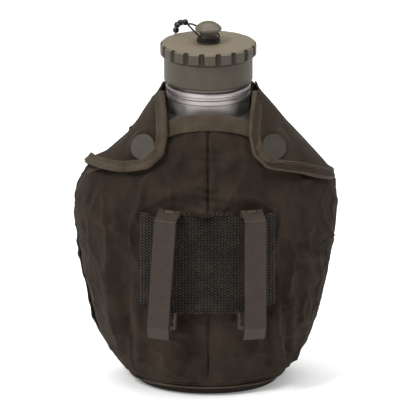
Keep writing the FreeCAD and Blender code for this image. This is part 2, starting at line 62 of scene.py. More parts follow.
def make_camera():
    """Long lens, a little above the canteen, on the belt-clip side."""
    distance = 3.0
    elevation = math.radians(17.0)
    frame_width = 0.2395
    target = Vector((-0.0002, 0.0, 0.1012))
    data = bpy.data.cameras.new("camera")
    camera = bpy.data.objects.new("camera", data)
    COLLECTION.objects.link(camera)
    camera.location = target + distance * Vector((0, -math.cos(elevation), math.sin(elevation)))
    data.sensor_width = 36.0
    data.lens = data.sensor_width * distance / frame_width
    look_at(camera, target)
    bpy.context.scene.camera = camera


def area_light(name, place, size, power, target=(0, 0, 0.1)):
    data = bpy.data.lights.new(name, "AREA")
    data.shape = "RECTANGLE"
    data.size, data.size_y = size
    data.energy = power
    lamp = bpy.data.objects.new(name, data)
    COLLECTION.objects.link(lamp)
    lamp.location = place
    lamp.visible_camera = False
    look_at(lamp, target)


def make_studio():
    world = bpy.data.worlds.new("studio")
    world.use_nodes = True
    background = world.node_tree.nodes["Background"]
    background.inputs["Color"].default_value = (1, 1, 1, 1)
    background.inputs["Strength"].default_value = 0.28
    bpy.context.scene.world = world
    bpy.context.scene.view_settings.view_transform = "Standard"
    area_light("overhead", (0.0, 0.15, 2.2), (2.6, 2.4), 52.0)
    area_light("key_front", (-0.95, -0.95, 1.5), (0.4, 0.4), 22.0)
    area_light("rim_right", (1.3, 0.1, 1.2), (0.5, 0.8), 5.0)
    mesh = bpy.data.meshes.new("floor")
    reach = 6.0
    mesh.from_pydata([(-reach, -reach, 0), (reach, -reach, 0), (reach, reach, 0), (-reach, reach, 0)], [],
                     [(0, 1, 2, 3)])
    floor = bpy.data.objects.new("floor", mesh)
    COLLECTION.objects.link(floor)
    floor.location.z = -0.0003
    mesh.materials.append(floor_material())


# ================================================================ materials
class Shader:
    """A material with one Principled shader and short calls to add nodes to it."""

    def __init__(self, name, color, roughness, metallic=0.0):
        self.material = bpy.data.materials.new(name)
        self.material.use_nodes = True
        self.nodes = self.material.node_tree.nodes
        self.links = self.material.node_tree.links
        self.surface = self.nodes["Principled BSDF"]
        self.surface.inputs["Base Color"].default_value = (*color, 1)
        self.surface.inputs["Roughness"].default_value = roughness
        self.surface.inputs["Metallic"].default_value = metallic
        self.surface.inputs["Specular IOR Level"].default_value = 0.35

    def set(self, socket, value):
        self.surface.inputs[socket].default_value = value

    def add(self, kind, inputs=None, **settings):
        node = self.nodes.new(kind)
        for key, value in settings.items():
            setattr(node, key, value)
        for key, value in (inputs or {}).items():
            if isinstance(value, bpy.types.NodeSocket):
                self.links.new(value, node.inputs[key])
            else:
                node.inputs[key].default_value = value
        return node

    def place(self, scale=(1, 1, 1)):
        """Object coordinates in millimetres, stretched by scale."""
        coords = self.add("ShaderNodeTexCoord").outputs["Object"]
        size = [1000 * s for s in scale]
        return self.add("ShaderNodeMapping", {"Vector": coords, "Scale": size}).outputs["Vector"]

    def noise(self, vector, scale, detail=3.0, rough=0.55):
        return self.add("ShaderNodeTexNoise", {"Vector": vector, "Scale": scale, "Detail": detail,
                                               "Roughness": rough}).outputs["Fac"]

    def wave(self, vector, scale, direction="X", distortion=0.0, profile="SIN"):
        node = self.add("ShaderNodeTexWave", {"Vector": vector, "Scale": scale, "Distortion": distortion},
                        bands_direction=direction, wave_profile=profile)
        return node.outputs["Fac"]

    def math(self, operation, first, second=0.5):
        node = self.add("ShaderNodeMath", {0: first, 1: second}, operation=operation)
        return node.outputs[0]

    def ramp(self, value, low, high, start=0.0, end=1.0):
        node = self.add("ShaderNodeMapRange", {"Value": value, "From Min": low, "From Max": high,
                                               "To Min": start, "To Max": end})
        return node.outputs["Result"]

    def mix(self, fac, first, second):
        node = self.add("ShaderNodeMix", data_type="RGBA")
        for index, value in ((0, fac), (6, first), (7, second)):
            if isinstance(value, bpy.types.NodeSocket):
                self.links.new(value, node.inputs[index])
            else:
                node.inputs[index].default_value = value if index == 0 else (*value, 1)
        return node.outputs[2]

    def color(self, socket):
        self.links.new(socket, self.surface.inputs["Base Color"])

    def roughness(self, socket):
        self.links.new(socket, self.surface.inputs["Roughness"])

    def bump(self, height, distance, strength=1.0, base=None):
        inputs = {"Height": height, "Distance": distance, "Strength": strength}
        if base is not None:
            inputs["Normal"] = base
        out = self.add("ShaderNodeBump", inputs).outputs["Normal"]
        self.links.new(out, self.surface.inputs["Normal"])
        return out


def floor_material():
    shader = Shader("studio_floor", (0.86, 0.86, 0.86), 0.7)
    grain = shader.noise(shader.place(), 0.02)
    shader.color(shader.mix(grain, (0.93, 0.93, 0.93), (0.95, 0.95, 0.95)))
    shader.set("Emission Color", (1, 1, 1, 1))
    shader.set("Emission Strength", 0.22)
    return shader.material


def cloth_material(name, dark, light, sheen=0.05, weave=1.6):
    """Plain-weave cotton: crossed yarns, worn lighter patches, streaks of painted fold light and shade, and a soft
    nap.
    """
    shader = Shader(name, light, 0.82)
    place = shader.place()
    warp = shader.wave(place, weave, "X", 0.6)
    weft = shader.wave(place, weave, "Z", 0.6)
    yarn = shader.math("MULTIPLY", warp, weft)
    patch = shader.noise(place, 0.045, 5.0, 0.6)
    fleck = shader.noise(place, 1.9, 2.0, 0.6)
    # Painted light and shade: vertically stretched noise lightens and darkens the cloth in streaks, standing in for
    # the shading of vertical folds.
    fold_shading_streak = shader.noise(shader.place((1, 1, 0.32)), 0.085, 4.0, 0.62)
    broad = shader.math("ADD", shader.math("MULTIPLY", patch, 0.35), shader.math("MULTIPLY", fold_shading_streak, 0.4))
    tone = shader.math("ADD", broad, shader.math("MULTIPLY", fleck, 0.25))
    base = shader.mix(shader.ramp(tone, 0.34, 0.68), dark, light)
    shade = shader.mix(shader.ramp(yarn, 0.0, 1.0, 0.0, 0.22), (1, 1, 1), (0.35, 0.35, 0.35))
    product = shader.add("ShaderNodeMix", data_type="RGBA", blend_type="MULTIPLY")
    product.inputs[0].default_value = 1.0
    shader.links.new(base, product.inputs[6])
    shader.links.new(shade, product.inputs[7])
    shader.color(product.outputs[2])
    shader.set("Sheen Weight", sheen)
    shader.set("Sheen Roughness", 0.45)
    shader.set("Sheen Tint", (0.9, 0.8, 0.7, 1))
    shader.set("Specular IOR Level", 0.08)
    crumple = shader.noise(place, 0.16, 4.0, 0.6)
    shader.roughness(shader.ramp(patch, 0.2, 0.8, 0.72, 0.9))
    base_bump = shader.bump(crumple, 0.0013, 0.9)
    shader.bump(yarn, 0.00025, 0.7, base_bump)
    return shader.material


def tape_material(name, dark, light):
    """Ribbed binding tape: close cords across its width and rubbed high spots."""
    shader = Shader(name, light, 0.85)
    place = shader.place()
    cord = shader.noise(place, 1.3, 2.0, 0.7)
    patch = shader.noise(place, 0.09, 4.0, 0.6)
    tone = shader.math("ADD", shader.math("MULTIPLY", patch, 0.6), shader.math("MULTIPLY", cord, 0.4))
    shader.color(shader.mix(shader.ramp(tone, 0.33, 0.66), dark, light))
    shader.set("Sheen Weight", 0.06)
    shader.set("Sheen Roughness", 0.5)
    shader.set("Specular IOR Level", 0.1)
    rib = shader.wave(place, 1.1, "DIAGONAL", 1.0)
    base_bump = shader.bump(cord, 0.0004, 0.7)
    shader.bump(rib, 0.00018, 0.6, base_bump)
    return shader.material


def web_material():
    """Heavy herringbone webbing: slanted ribs that turn over in narrow columns, with pale flecks."""
    shader = Shader("dark_webbing", (0.03, 0.026, 0.02), 0.85)
    place = shader.place()
    parts = shader.add("ShaderNodeSeparateXYZ", {"Vector": place})
    column = shader.math("PINGPONG", parts.outputs["X"], 1.85)
    slant = shader.math("ADD", shader.math("MULTIPLY", column, 0.62), parts.outputs["Z"])
    rib = shader.math("SINE", shader.math("MULTIPLY", slant, 3.7))
    across = shader.math("MULTIPLY", parts.outputs["X"], math.pi / 0.925)
    gap = shader.ramp(shader.math("SINE", across), -1.0, -0.1)
    rib = shader.math("MULTIPLY", shader.ramp(rib, -0.5, 0.9), gap)
    fleck = shader.noise(place, 1.25, 3.0, 0.75)
    patch = shader.noise(place, 0.12, 3.0, 0.6)
    tone = shader.math("MULTIPLY", rib, shader.ramp(fleck, 0.34, 0.62))
    tone = shader.math("ADD", tone, shader.ramp(patch, 0.3, 0.8, -0.1, 0.25))
    shader.color(shader.mix(shader.ramp(tone, 0.0, 1.0), (0.0038, 0.0029, 0.0022), (0.060, 0.046, 0.029)))
    shader.set("Sheen Weight", 0.08)
    shader.set("Specular IOR Level", 0.15)
    base_bump = shader.bump(fleck, 0.0006, 0.8)
    shader.bump(rib, 0.0006, 0.9, base_bump)
    return shader.material


def paint_material(name, color, rough=0.48, wear=0.35):
    """Baked enamel on steel: faint orange peel, rubbed lighter patches."""
    shader = Shader(name, color, rough)
    place = shader.place()
    patch = shader.noise(place, 0.18, 5.0, 0.65)
    speck = shader.noise(place, 1.6, 3.0, 0.7)
    tone = shader.math("ADD", shader.math("MULTIPLY", patch, 0.6), shader.math("MULTIPLY", speck, 0.4))
    pale = tuple(min(1.0, c * (1 + wear)) for c in color)
    deep = tuple(c * (1 - 0.5 * wear) for c in color)
    shader.color(shader.mix(shader.ramp(tone, 0.35, 0.68), deep, pale))
    shader.roughness(shader.ramp(speck, 0.2, 0.8, rough - 0.1, rough + 0.12))
    shader.set("Specular IOR Level", 0.22)
    shader.bump(speck, 0.00012, 0.6)
    return shader.material


def plastic_material(name, color, rough, pebble=0.00012, painted_top_light=0.0):
    """Moulded plastic: fine pebble, blotchy tone, slightly uneven gloss; optionally upward faces painted lighter as
    painted light from above, and painted shade in the notches.
    """
    shader = Shader(name, color, rough)
    place = shader.place()
    blotch = shader.noise(place, 0.12, 5.0, 0.65)
    grain = shader.noise(place, 2.2, 2.0, 0.6)
    pale = tuple(min(1.0, c * 1.16) for c in color)
    deep = tuple(c * 0.86 for c in color)
    tint = shader.mix(shader.ramp(blotch, 0.3, 0.7), deep, pale)
    # Painted light: upward-facing faces are mixed to a colour several times lighter, standing in for the light
    # falling on the top.
    if painted_top_light:
        facing = shader.add("ShaderNodeTexCoord").outputs["Normal"]
        upward = shader.add("ShaderNodeSeparateXYZ", {"Vector": facing})
        level = shader.math("MULTIPLY", shader.ramp(upward.outputs["Z"], 0.35, 0.95),
                            shader.ramp(blotch, 0.1, 0.6, 0.8, 1.0))
        tint = shader.mix(level, tint, tuple(c * painted_top_light for c in color))
        parts = shader.add("ShaderNodeSeparateXYZ", {"Vector": shader.place()}).outputs
        squares = [shader.math("MULTIPLY", parts[axis], parts[axis]) for axis in ("X", "Y")]
        reach = shader.math("SQRT", shader.math("ADD", *squares))
        # Painted shade: the side faces of the flange notches are darkened to a third, standing in for the shade in
        # the grooves.
        rim, below_rim, floor, above_floor = NOTCH_PAINTED_SHADE
        hollow = shader.math("MULTIPLY", shader.ramp(reach, rim, below_rim), shader.ramp(reach, floor, above_floor))
        sideways = shader.ramp(upward.outputs["Z"], 0.6, 0.3)
        tint = shader.mix(shader.math("MULTIPLY", hollow, sideways), tint, tuple(c * 0.3 for c in color))
    shader.color(tint)
    shader.roughness(shader.ramp(grain, 0.2, 0.8, rough - 0.06, rough + 0.08))
    shader.bump(grain, pebble, 0.6)
    return shader.material


def metal_material(name, color, rough, scratch=0.00006):
    """Bare metal with fine turned scratches round Z and a cloudy oxide film."""
    shader = Shader(name, color, rough, 1.0)
    turned = shader.noise(shader.place((0.05, 0.05, 4.0)), 1.0, 4.0, 0.7)
    cloud = shader.noise(shader.place(), 0.14, 4.0, 0.6)
    deep = tuple(c * 0.8 for c in color)
    shader.color(shader.mix(shader.ramp(cloud, 0.3, 0.7), deep, color))
    shader.roughness(shader.ramp(cloud, 0.25, 0.75, rough - 0.07, rough + 0.12))
    shader.bump(turned, scratch, 0.7)
    return shader.material


# painted shade in the cap's notches, in mm from its axis: it fades in between the first two radii, inward from
# the rim, and out between the last two
NOTCH_PAINTED_SHADE = (27.1, 26.6, 25.5, 25.8)

CLOTH_DARK = (0.0150, 0.0104, 0.0076)
CLOTH_LIGHT = (0.054, 0.0380, 0.0268)


def make_materials():
    return {
        "cloth": cloth_material("cover_cloth", CLOTH_DARK, CLOTH_LIGHT),
        "tape": tape_material("binding_tape", (0.040, 0.029, 0.0195), (0.088, 0.066, 0.045)),
        "base": cloth_material("base_cloth", (0.010, 0.0075, 0.0058), (0.024, 0.018, 0.0135)),
        "web": web_material(),
        "thread": tape_material("stitch_thread", (0.055, 0.041, 0.028), (0.12, 0.093, 0.062)),
        "felt": cloth_material("inner_felt", (0.03, 0.025, 0.018), (0.06, 0.05, 0.036), 0.3, 0.9),
        "clip": paint_material("clip_enamel", (0.034, 0.0240, 0.0170), 0.42),
        "clip_edge": paint_material("clip_enamel_rubbed", (0.125, 0.092, 0.064), 0.36, 0.3),
        "snap": paint_material("snap_enamel", (0.046, 0.039, 0.031), 0.4, 0.3),
        "snap_metal": metal_material("snap_brass", (0.42, 0.36, 0.26), 0.35),
        # the cap's plastic, with its upward faces painted 2.6 times lighter as painted light from above
        "cap": plastic_material("cap_plastic", (0.062, 0.051, 0.036), 0.5, painted_top_light=2.6),
        # Painted light: the knob is the same plastic as the cap, coloured lighter to stand in for the light on its
        # domed top.
        "knob": plastic_material("knob_plastic", (0.105, 0.087, 0.062), 0.34, 0.00006),
        "black": plastic_material("black_washer", (0.012, 0.012, 0.012), 0.45),
        "seal": plastic_material("seal_liner", (0.05, 0.05, 0.05), 0.7),
        "alu": metal_material("bottle_aluminium", (0.60, 0.56, 0.55), 0.55),
        "chain": metal_material("blackened_chain", (0.05, 0.045, 0.042), 0.3),
    }


# ================================================================ mesh helpers
def new_object(name, mesh, material, *more_materials):
    item = bpy.data.objects.new(name, mesh)
    COLLECTION.objects.link(item)
    for each in (material, *more_materials):
        mesh.materials.append(each)
    return item


def smooth(item):
    for face in item.data.polygons:
        face.use_smooth = True
    return item


def from_points(name, points, faces, material):
    mesh = bpy.data.meshes.new(name)
    mesh.from_pydata([tuple(point) for point in points], [], faces)
    mesh.update()
    return smooth(new_object(name, mesh, material))


def grid_faces(rows, columns, around=False):
    """Quads of a grid whose points run column by column inside each row."""
    faces = []
    last = columns if around else columns - 1
    for row in range(rows - 1):
        for column in range(last):
            after = (column + 1) % columns
            start = row * columns
            faces.append((start + column, start + after, start + columns + after, start + columns + column))
    return faces


def sheet_object(name, points, rows, columns, material, thickness, around=False):
    """A cloth sheet with real thickness, from a grid of points on its outer face."""
    item = from_points(name, points, grid_faces(rows, columns, around), material)
    thicken(item, thickness)
    return item


def thicken(item, thickness, offset=-1.0):
    solid = item.modifiers.new("thickness", "SOLIDIFY")
    solid.thickness = thickness
    solid.offset = offset
    solid.use_even_offset = False
    apply_modifiers(item)
    smooth(item)


def subdivide(item, levels=1):
    item.modifiers.new("smooth", "SUBSURF").levels = levels
    apply_modifiers(item)
    smooth(item)


def apply_modifiers(item):
    depsgraph = bpy.context.evaluated_depsgraph_get()
    mesh = bpy.data.meshes.new_from_object(item.evaluated_get(depsgraph))
    old = item.data
    item.modifiers.clear()
    item.data = mesh
    mesh.name = item.name
    bpy.data.meshes.remove(old)


def unit(vector):
    length = vector.length
    return vector / length if length > 1e-9 else vector


def swept(name, path, outs, downs, profile, material, closed=False):
    """Sweep a closed (out, down) profile along a path with its own directions at each point."""
    count = len(profile)
    points = []
    for place, out, down in zip(path, outs, downs):
        points += [place + out * a + down * b for a, b in profile]
    faces = grid_faces(len(path), count, True)
    if closed:
        first, last = 0, (len(path) - 1) * count
        faces += [(last + i, last + (i + 1) % count, first + (i + 1) % count, first + i) for i in range(count)]
    else:
        faces.append(tuple(range(count)))
        faces.append(tuple((len(path) - 1) * count + i for i in reversed(range(count))))
    item = from_points(name, points, faces, material)
    fix_normals(item)
    return item


def fix_normals(item):
    work = bmesh.new()
    work.from_mesh(item.data)
    bmesh.ops.recalc_face_normals(work, faces=work.faces)
    work.to_mesh(item.data)
    work.free()


def tape_profile(width, half, lip=0.35, overhang=0.9):
    """Folded tape seen end on: two flat sides, a rolled edge and a slightly thick lower lip."""
    side = [(half, width * 0.30), (half * 0.86, width * 0.62), (half * 0.98, width * 0.84),
            (half + lip, width * 0.93), (half + lip * 0.4, width)]
    top = [(0.0, -overhang), (half * 0.62, -overhang * 0.72), (half * 0.95, -overhang * 0.1)]
    right = top[1:] + side
    left = [(-a, b) for a, b in reversed(right)]
    return [(a * MM, b * MM) for a, b in [top[0]] + right + left]


def evenly(points, spacing):
    """Points at an even spacing along a polyline, as places and unit tangents."""
    places = [Vector(point) for point in points]
    lengths = [0.0]
    for first, second in zip(places, places[1:]):
        lengths.append(lengths[-1] + (second - first).length)
    count = max(2, int(lengths[-1] / spacing) + 1)
    out = []
    index = 0
    for step in range(count):
        at = min(step * spacing, lengths[-1] - 1e-9)
        while lengths[index + 1] < at:
            index += 1
        part = (at - lengths[index]) / max(lengths[index + 1] - lengths[index], 1e-9)
        place = places[index].lerp(places[index + 1], part)
        out.append((place, unit(places[index + 1] - places[index])))
    return out


def stitches(name, path, outward, pitch=2.1, length=1.5, radius=0.24, lift=0.05, material=None):
    """A row of separate thread stitches lying on a surface, as one mesh."""
    sides = 6
    points, faces = [], []
    for place, along in evenly(path, pitch * MM):
        out = unit(outward(place))
        across = unit(along.cross(out))
        out = unit(across.cross(along))
        base = len(points)
        for at, size, rise in ((-0.5, 0.3, -0.8), (-0.3, 0.9, 0.1), (0.0, 1.0, 0.35), (0.3, 0.9, 0.1),
                               (0.5, 0.3, -0.8)):
            centre = place + along * at * length * MM + out * (lift + rise * radius) * MM
            for side in range(sides):
                angle = 2 * math.pi * side / sides
                ray = across * math.cos(angle) + out * math.sin(angle)
                points.append(centre + ray * radius * size * MM)
        for row in range(4):
            for side in range(sides):
                after = (side + 1) % sides
                low, high = base + row * sides, base + (row + 1) * sides
                faces.append((low + side, low + after, high + after, high + side))
        faces.append(tuple(base + i for i in reversed(range(sides))))
        faces.append(tuple(base + 4 * sides + i for i in range(sides)))
    return from_points(name, points, faces, material)


def bump_noise(place, size, seed=0.0):
    """Smooth noise from -1 to 1 with features of the given size in millimetres."""
    return noise.noise(Vector(place) / (size * MM) + Vector((seed, 2.7 * seed, -1.3 * seed)))


def hill(distance, width):
    return math.exp(-(distance / width) ** 2)


def between(value, low, high):
    """Smooth step from 0 at low to 1 at high."""
    t = min(1.0, max(0.0, (value - low) / (high - low)))
    return t * t * (3 - 2 * t)


# ================================================================ the cover's surface, measured on the frame
def tree_of(*names):
    points, faces = [], []
    for name in names:
        mesh = NODES[name].data
        base = len(points)
        points += [vertex.co.copy() for vertex in mesh.vertices]
        faces += [tuple(base + index for index in face.vertices) for face in mesh.polygons]
    return BVHTree.FromPolygons(points, faces)


FRONT_TREE = tree_of("front_panel_left", "front_panel_right")
BACK_TREE = tree_of("back_panel")
ROUND_FRONT = 2.1
ROUND_BACK = 2.6
FOOT_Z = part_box("bottom_binding")[1].z


def reach_to(tree, direction, z, nudge=Vector((0, 0, 0))):
    start = Vector((0, 0, z)) + direction * 0.2 + nudge
    hit = tree.ray_cast(start, -direction)
    return hit[0]


def smoothed(values, passes=6):
    values = list(values)
    for _ in range(passes):
        inner = [(a + 2 * b + c) / 4 for a, b, c in zip(values, values[1:], values[2:])]
        values = [values[0]] + inner + [values[-1]]
    return values


class Form:
    """Half width, front depth and back depth of the cover at any height."""

    def __init__(self):
        self.low = 0.002
        self.high = 0.1755
        self.count = 120
        heights = [self.low + (self.high - self.low) * i / (self.count - 1) for i in range(self.count)]
        beside = Vector((0, 0.002, 0))
        off_seam = Vector((0.0012, 0, 0))
        self.width = self.measure(BACK_TREE, Vector((1, 0, 0)), heights, beside, 0)
        self.front = self.measure(FRONT_TREE, Vector((0, -1, 0)), heights, off_seam, 1)
        self.back = self.measure(BACK_TREE, Vector((0, 1, 0)), heights, off_seam, 1)

    def measure(self, tree, direction, heights, nudge, axis):
        found = []
        for z in heights:
            hit = reach_to(tree, direction, z, nudge)
            if hit is not None and abs(hit[axis]) > 0.02:
                found.append(abs(hit[axis]))
            else:
                found.append(found[-1] - 0.00008 if found else 0.03)
        return smoothed(found)

    def at(self, values, z):
        place = (z - self.low) / (self.high - self.low) * (self.count - 1)
        place = min(max(place, 0.0), self.count - 1.001)
        index = int(place)
        part = place - index
        return values[index] * (1 - part) + values[index + 1] * part

    def point(self, turn, z, grow=0.0):
        """turn is 0 at the front middle, 90 at +X, 180 at the back and 270 at -X, in degrees."""
        angle = math.radians(turn)
        across, along = math.sin(angle), -math.cos(angle)
        is_front = along < 0
        power = ROUND_FRONT if is_front else ROUND_BACK
        width = self.at(self.width, z) + grow
        depth = self.at(self.front if is_front else self.back, z) + grow
        x = width * math.copysign(abs(across) ** (2 / power), across)
        y = depth * math.copysign(abs(along) ** (2 / power), along)
        return Vector((x, y, z))

    def turn_at(self, x, z, front=True, grow=0.0):
        """The turn at which the surface has this x at this height."""
        power = ROUND_FRONT if front else ROUND_BACK
        width = self.at(self.width, z) + grow
        part = min(1.0, abs(x) / width)
        angle = math.degrees(math.asin(min(1.0, part ** (power / 2))))
        if not front:
            angle = 180 - angle
        return angle if x >= 0 else -angle

    def outward(self, turn, z):
        step_turn = self.point(turn + 0.6, z) - self.point(turn - 0.6, z)
        step_z = self.point(turn, z + 0.0012) - self.point(turn, z - 0.0012)
        return unit(step_turn.cross(step_z))


FORM = Form()


def front_edge_height(x):
    """Height of the front panel's top edge at x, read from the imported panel."""
    x = x if abs(x) > 0.0006 else 0.0006
    z = 0.170
    while z > 0.110:
        if FRONT_TREE.ray_cast(Vector((x, -0.1, z)), Vector((0, 1, 0)))[0] is not None:
            return z
        z -= 0.0005
    return z


# ================================================================ pouch: one cloth shell, simulated, then cut at its seams
SEAM_TOP_Z = 0.1268
FRONT_COLUMNS = 97
BACK_COLUMNS = 81
LOW_ROWS = 62
HIGH_ROWS = 20
SHOULDER_BACK = 9 * MM
SEWN_HALF_WIDTH = 38 * MM
WEB_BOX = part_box("web_panel")


def table_of(function, low, high, count=81):
    places = [low + (high - low) * i / (count - 1) for i in range(count)]
    values = smoothed([function(place) for place in places], 3)

    def lookup(place):
        at = (min(max(place, low), high) - low) / (high - low) * (count - 1)
        index = min(int(at), count - 2)
        part = at - index
        return values[index] * (1 - part) + values[index + 1] * part
    return lookup


def back_edge_height(x):
    z = 0.178
    while z > 0.150:
        if BACK_TREE.ray_cast(Vector((x, 0.1, z)), Vector((0, -1, 0)))[0] is not None:
            return z
        z -= 0.0005
    return z


FRONT_EDGE = table_of(front_edge_height, -0.0700, 0.0700)
BACK_EDGE = table_of(back_edge_height, -0.0260, 0.0260)


def front_top(turn):
    """Top of the front panel along one column of constant turn."""
    z = 0.14
    for _ in range(25):
        z = 0.5 * z + 0.5 * FRONT_EDGE(FORM.point(turn, z).x)
    return z


def shoulder_turn(z):
    """Where the back cloth ends on the shoulder: a little behind the fold, from the side seam's top upwards."""
    y = SHOULDER_BACK * between(z, SEAM_TOP_Z - 0.002, SEAM_TOP_Z + 0.014)
    part = (y / FORM.at(FORM.back, z)) ** (ROUND_BACK / 2)
    return 90 + math.degrees(math.asin(part))


def loose_shape(turn, z):
    """How far the cloth stands off its plain form before it is simulated."""
    place = FORM.point(turn, z)
    low = 1 - between(z, 0.05, 0.1)
    long_wave = math.sin(math.radians(turn) * 7 + 1.5 * math.sin(z * 40))
    return (0.5 * bump_noise(place, 17, 3.0) + 0.5 * low * long_wave) * MM


def front_grid():
    points = []
    for row in range(LOW_ROWS):
        part = row / (LOW_ROWS - 1)
        for column in range(FRONT_COLUMNS):
            turn = -90 + 180 * column / (FRONT_COLUMNS - 1)
            z = FOOT_Z - 0.001 + (front_top(turn) - FOOT_Z + 0.001) * part
            points.append(FORM.point(turn, z, loose_shape(turn, z)))
    return points


def back_grid():
    points = []
    for row in range(LOW_ROWS):
        z = FOOT_Z - 0.001 + (front_top(90) - FOOT_Z + 0.001) * row / (LOW_ROWS - 1)
        for column in range(BACK_COLUMNS):
            turn = 90 + 180 * column / (BACK_COLUMNS - 1)
            points.append(FORM.point(turn, z, loose_shape(turn if turn < 270 else -90, z)))
    start = front_top(90)
    for row in range(1, HIGH_ROWS + 1):
        for column in range(BACK_COLUMNS):
            across = column / (BACK_COLUMNS - 1)
            top = BACK_EDGE((1 - 2 * across) * 0.026)
            z = start + (top - start) * row / HIGH_ROWS
            first = shoulder_turn(z)
            turn = first + (360 - 2 * first) * across
            points.append(FORM.point(turn, z, loose_shape(turn, z) * 0.6))
    return points


def collider():
    """Felt-lined bottle inside the pouch, slimmer near the foot, for the cloth to rest on."""
    rows, columns = 40, 96
    points = []
    for row in range(rows):
        z = 0.001 + 0.174 * row / (rows - 1)
        inset = -(2.2 + 3.0 * (1 - between(z, 0.012, 0.075))) * MM
        for column in range(columns):
            points.append(FORM.point(360 * column / columns, z, inset))
    mesh = bpy.data.meshes.new("lined_bottle")
    mesh.from_pydata([tuple(point) for point in points], [], grid_faces(rows, columns, True))
    item = bpy.data.objects.new("lined_bottle", mesh)
    COLLECTION.objects.link(item)
    fix_normals(item)
    item.modifiers.new("collision", "COLLISION")
    item.collision.thickness_outer = 0.0006
    item.collision.cloth_friction = 25
    return item


def pouch_weights(item):
    """Pinned along hems and under the webbing; extra cloth everywhere but along the seams."""
    pinned = item.vertex_groups.new(name="pinned")
    loose = item.vertex_groups.new(name="loose")
    web_low, web_high = WEB_BOX
    for vertex in item.data.vertices:
        x, y, z = vertex.co
        hem = 1 - between(z, FOOT_Z, FOOT_Z + 0.003)
        if y < 0:
            gap = FRONT_EDGE(x) - z
            top = 1 - between(gap, 0.005, 0.010)
            sewn = (1 - between(abs(x), SEWN_HALF_WIDTH - 0.002, SEWN_HALF_WIDTH + 0.003)) \
                * between(z, web_low.z - 0.004, web_low.z) \
                * (1 - between(z, web_high.z - 0.002, web_high.z + 0.004))
            hold = max(hem, top, sewn)
            seam = max(1 - between(abs(x), 0.001, 0.005), 1 - between(-y, 0.002, 0.006))
        else:
            top = between(z, SEAM_TOP_Z + 0.002, SEAM_TOP_Z + 0.012)
            hold = max(hem, top)
            seam = 1 - between(y, 0.002, 0.006)
        pinned.add([vertex.index], hold, "REPLACE")
        loose.add([vertex.index], max(0.0, 1 - seam) * (1 - 0.5 * between(z, 0.09, 0.13)), "REPLACE")


def drape(item):
    """Let the extra cloth settle on the bottle, and keep the result as the mesh."""
    modifier = item.modifiers.new("cloth", "CLOTH")
    cloth = modifier.settings
    cloth.quality = 7
    cloth.mass = 0.25
    cloth.tension_stiffness = cloth.compression_stiffness = 18
    cloth.shear_stiffness = 8
    cloth.bending_stiffness = 0.35
    cloth.tension_damping = cloth.compression_damping = cloth.shear_damping = 12
    cloth.air_damping = 4
    cloth.vertex_group_mass = "pinned"
    cloth.pin_stiffness = 1
    cloth.vertex_group_shrink = "loose"
    cloth.shrink_min = 0.0
    cloth.shrink_max = -0.055
    cloth.use_pressure = False
    modifier.collision_settings.distance_min = 0.0006
    modifier.collision_settings.collision_quality = 3
    modifier.collision_settings.use_self_collision = False
    scene = bpy.context.scene
    for step in range(1, 27):
        scene.frame_set(step)
    apply_modifiers(item)
    scene.frame_set(1)
    item.vertex_groups.clear()


def make_pouch(materials):
    front = front_grid()
    back = back_grid()
    front_faces = grid_faces(LOW_ROWS, FRONT_COLUMNS)
    base = len(front)
    back_faces = [tuple(base + i for i in face) for face in grid_faces(LOW_ROWS + HIGH_ROWS, BACK_COLUMNS)]
    item = from_points("pouch_shell", front + back, front_faces + back_faces, materials["cloth"])
    panel = item.data.attributes.new("panel", "INT", "FACE")
    middle = (FRONT_COLUMNS - 1) // 2
    for face in item.data.polygons:
        if face.index >= len(front_faces):
            panel.data[face.index].value = 2
        else:
            panel.data[face.index].value = 0 if face.index % (FRONT_COLUMNS - 1) < middle else 1
    work = bmesh.new()
    work.from_mesh(item.data)
    bmesh.ops.remove_doubles(work, verts=work.verts, dist=0.00004)
    bmesh.ops.recalc_face_normals(work, faces=work.faces)
    work.to_mesh(item.data)
    work.free()
    pouch_weights(item)
    body = collider()
    drape(item)
    bpy.data.objects.remove(body)
    subdivide(item)
    return item


